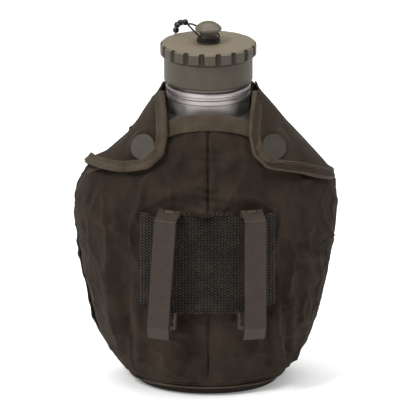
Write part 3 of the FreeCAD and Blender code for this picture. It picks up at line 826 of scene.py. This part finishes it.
# folds pressed into the settled cloth: start (x, z), end (x, z), half width, height, all in mm; y side is -1 front, 1 back
FOLDS = [
    ((37.0, 56.0), (40.5, 12.0), 2.6, 2.2, -1),
    ((32.5, 52.0), (35.5, 12.0), 2.4, -1.0, -1),
    ((46.0, 70.0), (47.5, 16.0), 3.8, 1.2, -1),
    ((55.0, 99.0), (71.0, 89.0), 2.6, 1.3, -1),
    ((50.0, 90.0), (69.0, 80.0), 2.8, -1.0, -1),
    ((52.0, 86.0), (62.0, 62.0), 3.0, 1.2, -1),
    ((-58.0, 86.0), (-50.0, 30.0), 4.5, 1.6, -1),
    ((-50.0, 84.0), (-44.0, 26.0), 3.6, -1.2, -1),
    ((-42.5, 62.0), (-38.0, 14.0), 3.2, 1.3, -1),
    ((-66.0, 104.0), (-47.0, 97.0), 3.0, 1.0, -1),
    ((-11.0, 112.5), (1.5, 109.5), 1.9, 2.6, -1),
    ((-13.0, 109.0), (0.0, 106.5), 2.0, -1.0, -1),
    ((-17.0, 146.0), (-4.0, 135.0), 2.6, 0.8, -1),
    ((19.0, 143.0), (4.0, 134.0), 2.6, 0.8, -1),
    ((-30.0, 120.0), (-6.0, 124.0), 3.0, 0.9, -1),
    ((28.0, 117.0), (5.0, 121.0), 3.2, 1.0, -1),
    ((18.0, 46.0), (22.0, 16.0), 3.2, 1.0, -1),
    ((-14.0, 46.0), (-18.0, 14.0), 3.4, 1.0, -1),
    ((2.0, 46.0), (-2.0, 12.0), 3.0, -0.8, -1),
    ((-45.0, 100.0), (-36.0, 40.0), 5.0, 1.5, 1),
    ((12.0, 112.0), (-2.0, 40.0), 5.5, 1.6, 1),
    ((44.0, 96.0), (38.0, 30.0), 4.6, 1.5, 1),
    ((-14.0, 90.0), (-22.0, 22.0), 4.5, -1.2, 1),
    ((28.0, 120.0), (24.0, 60.0), 4.2, -1.1, 1),
    ((-30.0, 140.0), (20.0, 134.0), 4.5, 1.2, 1),
]


def fold_height(x, z, side):
    total = 0.0
    for (x0, z0), (x1, z1), width, height, fold_side in FOLDS:
        if fold_side != side:
            continue
        along_x, along_z = x1 - x0, z1 - z0
        length = math.hypot(along_x, along_z)
        part = ((x - x0) * along_x + (z - z0) * along_z) / length ** 2
        across = abs((x - x0) * along_z - (z - z0) * along_x) / length
        ends = between(part, -0.18, 0.2) * (1 - between(part, 0.8, 1.18))
        if ends > 0 and across < 3 * width:
            total += height * hill(across, width) * ends
    return total


def crease_field(place):
    """Sharp-crested wrinkles that run mostly up and down, from folded-over noise."""
    stretched = Vector((place.x, place.y, place.z * 0.38))
    ridge = 1 - abs(bump_noise(stretched, 13, 21.0)) * 2.2
    cross = 1 - abs(bump_noise(Vector((place.x * 0.5, place.y, place.z)), 12, 33.0)) * 2.4
    return max(0.0, ridge) ** 3 + 0.7 * max(0.0, cross) ** 4 - 0.35


def cloth_detail(place):
    """Puckers beside the seams, pressed folds and small creases, in metres along the normal."""
    x, y, z = (value / MM for value in place)
    side = -1 if y < 0 else 1
    lift = 2.2 * fold_height(x, z, side) + 1.7 * crease_field(place)
    lift += 0.7 * bump_noise(place, 15, 1.0) + 0.35 * bump_noise(place, 6.5, 5.0)
    lift += 0.12 * bump_noise(place, 3.0, 9.0)
    if side < 0:
        middle = hill(x, 9.0) * between(z, 104, 110)
        lift += middle * (1.0 * math.sin(z * 0.85 + 1.7 * math.sin(z * 0.31 + 0.12 * x)) + 0.3)
        lift -= 1.5 * hill(x, 1.1) * between(z, 8, 14)
        lift += 0.7 * hill(abs(x) - 3.0, 1.6) * between(z, 104, 112)
    beside = abs(y) if z < SEAM_TOP_Z / MM else 40.0
    lift *= 1 - 0.65 * hill(beside, 9.0)
    lift += 0.4 * hill(abs(beside - 3.4), 2.2)
    lift -= 0.7 * hill(beside, 1.2)
    lift += 0.22 * hill(beside, 9.0) * math.sin(z * 0.55 + 1.6 * math.sin(z * 0.17))
    hem = 1 - between(z, 6.5, 12.0)
    lift = lift * (1 - hem) - 0.4 * hem
    if side < 0:
        covered = (1 - between(abs(x), 36, 40)) * between(z, 46, 50) * (1 - between(z, 106, 110))
        lift = lift * (1 - 0.75 * covered) - 0.3 * covered
        below_edge = FRONT_EDGE(place.x) / MM - z
        calm = 1 - between(below_edge, 7.0, 11.0)
        lift = lift * (1 - calm) - 0.3 * calm
    return lift * MM


def shoulder_sag(turn, z):
    """The cloth hangs in between the bottle's shoulder and its neck, at the sides only, in mm."""
    depth = 3.4 if math.sin(math.radians(turn)) < 0 else 1.0
    return -depth * hill(z / MM - 146.0, 12.0) * between(abs(math.sin(math.radians(turn))), 0.55, 1.0)


def body_drift(turn, z):
    """The full cover sags a little towards its left side and bulges near its foot."""
    sideways = math.sin(math.radians(turn)) ** 3
    height = z / MM
    if sideways < 0:
        amount = 2.2 * hill(height - 76, 54) + 2.6 * hill(height - 18, 22)
    else:
        amount = -1.0 * hill(height - 104, 36) + 1.2 * hill(height - 22, 22)
    forward = max(0.0, math.cos(math.radians(turn))) ** 2
    return (abs(sideways) * amount + 2.6 * forward * hill(height - 2, 24)) * MM


def foot_point(turn, z, grow):
    """A point of the base band, on the same sagging form as the cloth above it."""
    turn = turn if turn <= 180 else turn - 360
    return FORM.point(turn, z) + FORM.outward(turn, z) * (grow * MM + body_drift(turn, z))


# a snap faces this far outward and upward, in degrees, and its stud stands this high
SNAP_YAW = 25.0
SNAP_PITCH = 24.0
STUD_TOP = 1.35 * MM
# flat patches round a snap, in mm: the fade at a patch's rim, and how far off the plane it still acts
SNAP_PATCH_BLEND = 4.0
SNAP_PATCH_DEPTH = 12.0
# level above the cover's face and radius of the patch under the stud, and of the flap's under the cap
STUD_PATCH = (-0.1, 5.0)
CAP_PATCH = (3.7, 8.2)


def snap_plane(side):
    """Centre of a snap and its outward direction; the plane through the centre is the cover's face there."""
    yaw, pitch = math.radians(SNAP_YAW), math.radians(SNAP_PITCH)
    out = Vector((side * math.sin(yaw) * math.cos(pitch), -math.cos(yaw) * math.cos(pitch), math.sin(pitch)))
    name = ("left" if side < 0 else "right") + "_snap_stud"
    centre = sum(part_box(name), Vector()) / 2
    top = max(vertex.co.dot(out) for vertex in NODES[name].data.vertices)
    return centre + out * (top - STUD_TOP - centre.dot(out)), out


SNAPS = {side: snap_plane(side) for side in (-1, 1)}


def flattened(place, level, reach, side):
    """The place, moved on to a flat patch at a level in mm above the cover's face round a snap."""
    centre, out = SNAPS[side]
    offset = place - centre
    height = offset.dot(out)
    near = 1 - between((offset - out * height).length / MM, reach, reach + SNAP_PATCH_BLEND)
    return place + out * (level * MM - height) * near if abs(height) < SNAP_PATCH_DEPTH * MM else place


def shape_cloth(item, band_out=3.4, band_in=2.4):
    """Keep the cloth in a band round its plain form, then press the folds, seams and creases into it."""
    moved = []
    for vertex in item.data.vertices:
        place = vertex.co.copy()
        turn = FORM.turn_at(place.x, place.z, place.y < 0)
        plain = FORM.point(turn, place.z)
        out = FORM.outward(turn, place.z)
        height = (place - plain).dot(out)
        wanted = min(max(height, -band_in * MM), band_out * MM)
        wanted += cloth_detail(place) + body_drift(turn, place.z)
        wanted = max(wanted, -1.6 * MM)
        if place.z > SEAM_TOP_Z:
            wanted += shoulder_sag(turn, place.z) * MM
        moved.append(place + out * (wanted - height))
        if place.y < 0 and place.z > SEAM_TOP_Z:
            moved[-1] = flattened(moved[-1], *STUD_PATCH, -1 if place.x < 0 else 1)
    for vertex, place in zip(item.data.vertices, moved):
        vertex.co = place


def split_panels(item, names, material):
    """Separate objects for the faces of each panel, each one a closed cloth."""
    made = []
    for index, name in enumerate(names):
        part = new_object(name, item.data.copy(), material)
        part.data.materials.clear()
        part.data.materials.append(material)
        work = bmesh.new()
        work.from_mesh(part.data)
        layer = work.faces.layers.int["panel"]
        bmesh.ops.delete(work, geom=[face for face in work.faces if face[layer] != index], context="FACES")
        work.to_mesh(part.data)
        work.free()
        thicken(part, 1.2 * MM)
        made.append(part)
    bpy.data.objects.remove(item)
    return made


def felt_pieces(materials):
    """Felt inside the cover, seen only at its mouth: front and back halves."""
    made = []
    for name, first in (("felt_front", -90), ("felt_back", 90)):
        points = []
        rows, columns = 40, 61
        for row in range(rows):
            for column in range(columns):
                turn = first + 180 * column / (columns - 1)
                if name == "felt_front":
                    top = front_top(turn) - 0.0012
                else:
                    top = BACK_EDGE(FORM.point(turn, 0.168).x) - 0.0012
                z = 0.008 + (top - 0.008) * row / (rows - 1)
                inset = -2.9 + (shoulder_sag(turn, z) if z > SEAM_TOP_Z else 0.0)
                points.append(FORM.point(turn, z, inset * MM))
        made.append(sheet_object(name, points, rows, columns, materials["felt"], 0.5 * MM))
    return [(made[0], "felt", ("felt_lining",)), (made[1], "felt", ())]


# ================================================================ flaps, tapes and webbing
FLAP_EDGE = [(74.0, 125.5), (60.0, 128.0), (44.0, 131.0), (32.5, 134.5), (25.0, 142.0), (22.6, 152.0),
             (22.6, 164.0), (23.6, 175.0)]
FLAP_ROWS = 44
FLAP_COLUMNS = 40
FLAP_TOP = 0.1745


def flap_edge_x(z):
    """Distance of the flap's edge from the middle, at a height."""
    for (x0, z0), (x1, z1) in zip(FLAP_EDGE, FLAP_EDGE[1:]):
        if z <= z1 * MM:
            part = (z / MM - z0) / (z1 - z0)
            return (x0 + (x1 - x0) * part) * MM
    return FLAP_EDGE[-1][0] * MM


FLAP_EDGE_AT = table_of(flap_edge_x, FLAP_EDGE[0][1] * MM, FLAP_TOP, 161)


def flap_lift(side, place):
    """Height of the flap's outer face above the plain form, in mm."""
    x, y, z = (value / MM for value in place)
    lift = 0.7 + 3.7 * between(-y, -2.0, 21.0)
    lift += 0.5 * bump_noise(place, 13, 4.0 + side) + 0.22 * bump_noise(place, 5.5, 8.0 + side)
    lift += 0.9 * math.sin(0.21 * x * side + 0.15 * z + 1.0) * hill(y + 9.0, 7.0)
    return lift


def surface_point(turn, z, lift):
    """A point on the flap; its low outer corner curls out on the left and hangs down on the right."""
    place = FORM.point(turn, z)
    side = -1 if place.x < 0 else 1
    loose = 1 - between(place.y, -5 * MM, 7 * MM)
    corner = between(abs(place.x) / MM, 44, 68) * (1 - between(z, 0.1265, 0.146)) * loose
    z += (0.8 if side < 0 else -6.0) * MM * corner
    lift += (4.6 if side < 0 else -0.4) * corner
    place = FORM.point(turn, z) + FORM.outward(turn, z) * (lift + shoulder_sag(turn, z)) * MM
    return flattened(place, *CAP_PATCH, side)


def flap_grid(side):
    points = []
    low = FLAP_EDGE[0][1] * MM + 0.0004
    for row in range(FLAP_ROWS):
        z = low + (FLAP_TOP - low) * (row / (FLAP_ROWS - 1)) ** 1.7
        seam = 360 - shoulder_turn(z) if z > SEAM_TOP_Z else 270
        edge = 360 - FORM.turn_at(FLAP_EDGE_AT(z), z)
        for column in range(FLAP_COLUMNS):
            turn = seam + (edge - seam) * column / (FLAP_COLUMNS - 1)
            turn = turn if side < 0 else 360 - turn
            place = FORM.point(turn, z)
            points.append(surface_point(turn, z, flap_lift(side, place)))
    return points


def fold_blend(item):
    """Bake the item's transform into its mesh."""
    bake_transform(item)


def edge_line(side):
    """Path, outward and downward directions along the flap's free edge, from the side corner to the neck."""
    path, outs, downs = [], [], []
    count = 96
    low, high = FLAP_EDGE[0][1] * MM, FLAP_TOP
    for step in range(count):
        z = low + (high - low) * (step / (count - 1)) ** 1.7
        turn = FORM.turn_at(FLAP_EDGE_AT(z), z)
        turn = turn if side > 0 else -turn
        place = FORM.point(turn, z)
        lift = flap_lift(side, place) - 0.6
        path.append(surface_point(turn, z, lift))
        outs.append(FORM.outward(turn, z))
    for index, out in enumerate(outs):
        along = unit(path[min(index + 1, count - 1)] - path[max(index - 1, 0)])
        downs.append(unit(along.cross(out)) * side)
    return path, outs, downs


def make_flap(side, materials):
    name = "left" if side < 0 else "right"
    flap = sheet_object(name + "_flap_cloth", flap_grid(side), FLAP_ROWS, FLAP_COLUMNS, materials["cloth"],
                        1.3 * MM)
    fix_normals(flap)
    subdivide(flap)
    path, outs, downs = edge_line(side)
    tape = swept(name + "_flap_tape", path, outs, downs, tape_profile(5.2, 1.7), materials["tape"])
    row = [place + down * 3.6 * MM + out * 1.7 * MM for place, out, down in zip(path, outs, downs)]
    thread = stitches(name + "_flap_stitches", row, lambda place: outs[nearest(row, place)],
                      material=materials["thread"])
    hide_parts(name + "_flap")
    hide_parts(name + "_flap_binding")
    for item in (flap, tape, thread):
        fold_blend(item)


def nearest(points, place):
    return min(range(len(points)), key=lambda index: (points[index] - place).length_squared)


def front_tape(materials):
    """Binding along the front panel's top edge, from side seam to side seam."""
    path, outs, downs = [], [], []
    count = 190
    for step in range(count):
        turn = -88 + 176 * step / (count - 1)
        z = front_top(turn)
        path.append(FORM.point(turn, z) + FORM.outward(turn, z) * -0.6 * MM)
        outs.append(FORM.outward(turn, z))
    for index, out in enumerate(outs):
        along = unit(path[min(index + 1, count - 1)] - path[max(index - 1, 0)])
        downs.append(unit(along.cross(out)))
    if downs[count // 2].z > 0:
        downs = [-down for down in downs]
    profile = tape_profile(8.4, 1.5)
    tape = swept("front_tape", path, outs, downs, profile, materials["tape"])
    row = [place + down * 6.6 * MM + out * 1.5 * MM for place, out, down in zip(path, outs, downs)]
    thread = stitches("front_tape_stitches", row, lambda place: outs[nearest(row, place)],
                      material=materials["thread"])
    return [(tape, "binding_tape", ("front_binding",)), (thread, "binding_tape", ())]


def back_tape(materials):
    path, outs, downs = [], [], []
    count = 110
    for step in range(count):
        across = step / (count - 1)
        x = (1 - 2 * across) * 0.0262
        z = BACK_EDGE(x)
        turn = FORM.turn_at(x, z, False)
        turn = turn if turn > 0 else turn + 360
        path.append(FORM.point(turn, z) + FORM.outward(turn, z) * -0.6 * MM)
        outs.append(FORM.outward(turn, z))
    for index, out in enumerate(outs):
        along = unit(path[min(index + 1, count - 1)] - path[max(index - 1, 0)])
        down = unit(along.cross(out))
        downs.append(down if down.z < 0 else -down)
    tape = swept("back_tape", path, outs, downs, tape_profile(7.0, 1.4), materials["tape"])
    row = [place + down * 5.2 * MM + out * 1.4 * MM for place, out, down in zip(path, outs, downs)]
    thread = stitches("back_tape_stitches", row, lambda place: outs[nearest(row, place)],
                      material=materials["thread"])
    return [(tape, "binding_tape", ("back_binding",)), (thread, "binding_tape", ())]


BAND_ROWS = [(0.0, 0.25, 0.0), (0.35, 0.25, 0.0), (0.7, 0.25, 0.0), (0.92, 0.3, 0.0), (1.0, 0.35, -1.0),
             (1.0, 0.9, 0.1), (1.0, 2.2, 0.9), (1.0, 3.6, 1.1), (1.0, 5.0, 0.8), (1.0, 6.0, 0.5)]


def base_band(materials):
    """Bottom cloth: flat under the canteen, turned up round the foot as a dark band."""
    columns = 144
    points = []
    for reach, height, grow in BAND_ROWS:
        for column in range(columns):
            turn = 360 * column / columns
            rim = foot_point(turn, max(height, 2.0) * MM, grow)
            ripple = 0.25 * bump_noise(rim, 9, 6.0) * between(height, 0.5, 2.0) * MM
            rim += FORM.outward(turn, 6 * MM) * ripple
            points.append(Vector((rim.x * max(reach, 0.02), rim.y * max(reach, 0.02), height * MM)))
    faces = grid_faces(len(BAND_ROWS), columns, True)
    faces.append(tuple(reversed(range(columns))))
    band = from_points("base_band", points, faces, materials["base"])
    fix_normals(band)
    subdivide(band)
    welt_path, welt_outs, welt_downs = [], [], []
    for column in range(180):
        turn = 2 * column
        welt_path.append(foot_point(turn, 6.2 * MM, 0.5))
        welt_outs.append(FORM.outward(turn, 6.2 * MM))
        welt_downs.append(Vector((0, 0, -1)))
    ring = [(0.55 * MM * math.cos(a), 0.55 * MM * math.sin(a)) for a in [math.pi * k / 4 for k in range(8)]]
    welt = swept("base_welt", welt_path, welt_outs, welt_downs, ring, materials["tape"], True)
    made = [(band, "cover_cloth", ("bottom_panel",)), (welt, "binding_tape", ("bottom_binding",))]
    for index, z in enumerate((7.6, 9.6)):
        row = [foot_point(2.5 * k, z * MM, -0.2) for k in range(145)]
        thread = stitches("base_stitches_%d" % (index + 1), row, lambda place: Vector((place.x, place.y, 0)),
                          pitch=2.3, length=1.7, material=materials["tape"])
        made.append((thread, "binding_tape", ()))
    return made


LEG_X = {side: sum(corner.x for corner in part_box(name + "_clip_leg")) / 2 / MM
         for side, name in ((-1, "left"), (1, "right"))}


def web_strap(name, x_low, x_high, z_low, z_high, material, seed):
    """Heavy webbing sewn down along its edges and standing off where the clip legs run under it."""
    rows = int((z_high - z_low) / 1.1) + 1
    columns = int((x_high - x_low) / 1.1) + 1
    points = []
    for row in range(rows):
        for column in range(columns):
            part_z, part_x = row / (rows - 1), column / (columns - 1)
            x = x_low + (x_high - x_low) * part_x
            side = -1 if x < 0 else 1
            from_leg = abs(x - LEG_X[side])
            top = z_high + 1.8 * between(from_leg, 8.0, 10.5)
            z = z_low + (top - z_low) * part_z
            ragged = 0.35 * bump_noise((x * MM, 0, z * MM), 5.0, seed)
            x += ragged if column in (0, columns - 1) else 0.0
            z += ragged if row in (0, rows - 1) else 0.0
            edge = min(part_x, 1 - part_x) * (x_high - x_low)
            end = min(part_z, 1 - part_z) * (z_high - z_low)
            over_leg = hill(from_leg, 8.0)
            lift = 3.0 + 2.1 * over_leg - 0.5 * (1 - between(end, 0, 5)) * (1 - over_leg)
            lift -= 0.8 * (1 - between(edge, 0, 3)) * (1 - over_leg)
            lift += 0.2 * bump_noise((x * MM, 0, z * MM), 7.0, seed + 3)
            turn = FORM.turn_at(x * MM, z * MM)
            points.append(FORM.point(turn, z * MM) + FORM.outward(turn, z * MM) * lift * MM)
    strap = sheet_object(name, points, rows, columns, material, 1.7 * MM)
    return strap


def frayed_threads(materials):
    """Loose tan yarn ends standing out of the webbing's upper edge."""
    ends = []
    top = WEB_BOX[1].z / MM + 1.5
    for index in range(64):
        x = -15.5 + 29.0 * ((index * 0.618) % 1.0) ** (1.0 if index % 3 else 1.8)
        z = top + 0.5 * math.sin(index * 2.1)
        turn = FORM.turn_at(x * MM, z * MM)
        out = FORM.outward(turn, z * MM)
        start = FORM.point(turn, z * MM) + out * 2.4 * MM
        lean = Vector((0.8 * math.sin(index * 1.7), 0, 0.75 + 0.5 * math.cos(index * 3.1)))
        length = (1.6 + 1.5 * abs(math.sin(index * 5.3))) * MM
        path = [start + out * 0.7 * MM * math.sin(k * 0.9) + lean * length * k / 4 for k in range(5)]
        ends.append(path)
    points, faces = [], []
    for path in ends:
        base = len(points)
        for k, place in enumerate(path):
            size = 0.16 * (1 - 0.15 * k) * MM
            points += [place + Vector((size, 0, 0)), place + Vector((-size / 2, -size, 0)),
                       place + Vector((-size / 2, size, 0))]
        for k in range(4):
            for side in range(3):
                after = (side + 1) % 3
                faces.append((base + 3 * k + side, base + 3 * k + after, base + 3 * k + 3 + after,
                              base + 3 * k + 3 + side))
        faces.append((base, base + 2, base + 1))
        faces.append((base + 12, base + 13, base + 14))
    return from_points("web_frayed_ends", points, faces, materials["thread"])


def make_webbing(materials):
    low, high = (corner.z / MM for corner in WEB_BOX)
    centre = web_strap("web_centre", -25.4, 25.4, low - 0.5, high, materials["web"], 1.0)
    left = web_strap("web_left", -38.2, -25.6, low + 3.5, high, materials["web"], 2.0)
    right = web_strap("web_right", 25.6, 37.4, low + 3.5, high, materials["web"], 3.0)
    fray = frayed_threads(materials)
    return [(centre, "webbing", ("web_panel",)), (left, "webbing", ()), (right, "webbing", ()),
            (fray, "webbing", ())]


def seam_stitches(materials):
    """Stitches along the centre seam, sitting on the finished cloth."""
    row = [on_cloth(Vector((-0.9 * MM, -1, 0)), (112 + k) * MM) for k in range(45)]
    thread = stitches("centre_stitches", [place for place in row if place], lambda place: Vector((0, -1, 0.25)),
                      pitch=2.3, length=1.5, radius=0.32, material=materials["base"])
    return [(thread, "binding_tape", ())]


CLOTH = {}


def on_cloth(start, z):
    """Where a ray along +Y or -Y meets the finished cloth."""
    direction = Vector((0, 1 if start.y < 0 else -1, 0))
    hit = CLOTH["tree"].ray_cast(Vector((start.x, start.y, z)), direction)
    return hit[0]


# ================================================================ hard parts
def bevel(item, width=0.25, segments=2, rubbed=None):
    """Rounded edges on a CAD part, with a worn finish on the rounding."""
    edge = item.modifiers.new("edge", "BEVEL")
    edge.width = width * MM
    edge.segments = segments
    edge.limit_method = "ANGLE"
    edge.angle_limit = math.radians(35)
    if rubbed is not None:
        item.data.materials.append(rubbed)
        edge.material = 1


def paint_nodes(materials):
    finishes = {
        "bottle_body": "alu", "neck_ring": "alu", "chain_end_ring": "chain", "cap_shell": "cap",
        "cap_gasket": "seal", "cap_knob": "knob", "knob_washer": "black", "chain_loop": "chain",
        "base_pad": "felt",
    }
    for side in ("left", "right"):
        for part, finish in (("snap_cap", "snap"), ("snap_socket", "snap_metal"), ("snap_stud", "snap_metal"),
                             ("snap_eyelet", "snap_metal"), ("clip_bar", "clip"), ("clip_pin", "clip"),
                             ("clip_leg", "clip"), ("clip_lock", "clip")):
            finishes[side + "_" + part] = finish
    for node, finish in finishes.items():
        mesh = NODES[node].data
        mesh.materials.clear()
        mesh.materials.append(materials[finish])
    for side in ("left", "right"):
        for part in ("clip_bar", "clip_lock"):
            bevel(NODES[side + "_" + part], 0.3, 2, materials["clip_edge"])
        bevel(NODES[side + "_clip_leg"], 0.2)


def chain_pieces(materials):
    """Ball chain: hollow balls with a parting waist, and dumb-bell links between them."""
    centres = ball_centres()
    points, faces = [], []
    rings, sides = 11, 14
    for index, centre in enumerate(centres):
        before = centres[max(index - 1, 0)]
        after = centres[min(index + 1, len(centres) - 1)]
        add_ball(points, faces, centre, unit(after - before), 1.9 * MM, rings, sides)
    balls = from_points("chain_ball_row", points, faces, materials["chain"])
    points, faces = [], []
    for first, second in zip(centres, centres[1:]):
        add_link(points, faces, first, second)
    links = from_points("chain_link_row", points, faces, materials["chain"])
    fix_normals(balls)
    fix_normals(links)
    return balls, links


def ball_centres():
    """Centres of the CAD chain's balls, in order from the loop down to the neck ring."""
    work = bmesh.new()
    work.from_mesh(NODES["chain_balls"].data)
    bmesh.ops.remove_doubles(work, verts=work.verts, dist=0.00002)
    left = set(work.verts)
    centres = []
    while left:
        stack = [left.pop()]
        group = []
        while stack:
            vertex = stack.pop()
            group.append(vertex.co.copy())
            for edge in vertex.link_edges:
                other = edge.other_vert(vertex)
                if other in left:
                    left.remove(other)
                    stack.append(other)
        low = Vector([min(p[i] for p in group) for i in range(3)])
        high = Vector([max(p[i] for p in group) for i in range(3)])
        centres.append((low + high) / 2)
    work.free()
    loop_low, loop_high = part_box("chain_loop")
    start = Vector((loop_low.x, loop_high.y, loop_high.z))
    ordered = [min(centres, key=lambda place: (place - start).length)]
    centres.remove(ordered[0])
    while centres:
        ordered.append(min(centres, key=lambda place: (place - ordered[-1]).length))
        centres.remove(ordered[-1])
    return ordered


def frame_round(axis):
    side = unit(axis.cross(Vector((0.3, 0.2, 1.0))))
    return side, unit(axis.cross(side))


def add_ball(points, faces, centre, axis, radius, rings, sides):
    """A stamped ball: round with a shallow waist and its poles cut flat where the links leave it."""
    side, other = frame_round(axis)
    base = len(points)
    for ring in range(rings):
        angle = math.pi * (ring + 0.6) / (rings + 0.2)
        along = -math.cos(angle) * radius
        size = math.sin(angle) * radius * (1 - 0.05 * hill(along, 0.25 * MM))
        for k in range(sides):
            turn = 2 * math.pi * k / sides
            points.append(centre + axis * along + (side * math.cos(turn) + other * math.sin(turn)) * size)
    for ring in range(rings - 1):
        for k in range(sides):
            after = (k + 1) % sides
            low = base + ring * sides
            faces.append((low + k, low + after, low + sides + after, low + sides + k))
    faces.append(tuple(base + k for k in reversed(range(sides))))
    faces.append(tuple(base + (rings - 1) * sides + k for k in range(sides)))


def add_link(points, faces, first, second):
    axis = unit(second - first)
    side, other = frame_round(axis)
    length = (second - first).length
    base = len(points)
    stops = ((0.25, 0.42), (0.4, 0.42), (0.5, 0.34), (0.6, 0.42), (0.75, 0.42))
    for part, size in stops:
        for k in range(8):
            turn = 2 * math.pi * k / 8
            points.append(first + axis * length * part
                          + (side * math.cos(turn) + other * math.sin(turn)) * size * MM)
    for ring in range(len(stops) - 1):
        for k in range(8):
            after = (k + 1) % 8
            low = base + ring * 8
            faces.append((low + k, low + after, low + 8 + after, low + 8 + k))
    faces.append(tuple(base + k for k in reversed(range(8))))
    faces.append(tuple(base + (len(stops) - 1) * 8 + k for k in range(8)))


# ================================================================ making
def settle(entries, body):
    for item, slot, nodes in entries:
        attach(item, body)
        if nodes:
            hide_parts(*nodes)


def tree_from(*items):
    points, faces = [], []
    for item in items:
        base = len(points)
        points += [vertex.co.copy() for vertex in item.data.vertices]
        faces += [tuple(base + index for index in face.vertices) for face in item.data.polygons]
    return BVHTree.FromPolygons(points, faces)


make_camera()
make_studio()

MATERIALS = make_materials()
paint_nodes(MATERIALS)

SHELL = make_pouch(MATERIALS)
shape_cloth(SHELL)
PANELS = split_panels(SHELL, ("pouch_front_left", "pouch_front_right", "pouch_back"), MATERIALS["cloth"])
CLOTH["tree"] = tree_from(*PANELS)
settle([(PANELS[0], "cover_cloth", ("front_panel_left",)), (PANELS[1], "cover_cloth", ("front_panel_right",)),
        (PANELS[2], "cover_cloth", ("back_panel",))], "cover")
settle(felt_pieces(MATERIALS), "cover")
settle(front_tape(MATERIALS) + back_tape(MATERIALS) + base_band(MATERIALS), "cover")
settle(make_webbing(MATERIALS) + seam_stitches(MATERIALS), "cover")
for SIDE in (-1, 1):
    make_flap(SIDE, MATERIALS)

BALLS, LINKS = chain_pieces(MATERIALS)
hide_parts("chain_balls")
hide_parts("chain_links")
for ITEM in (BALLS, LINKS):
    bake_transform(ITEM)
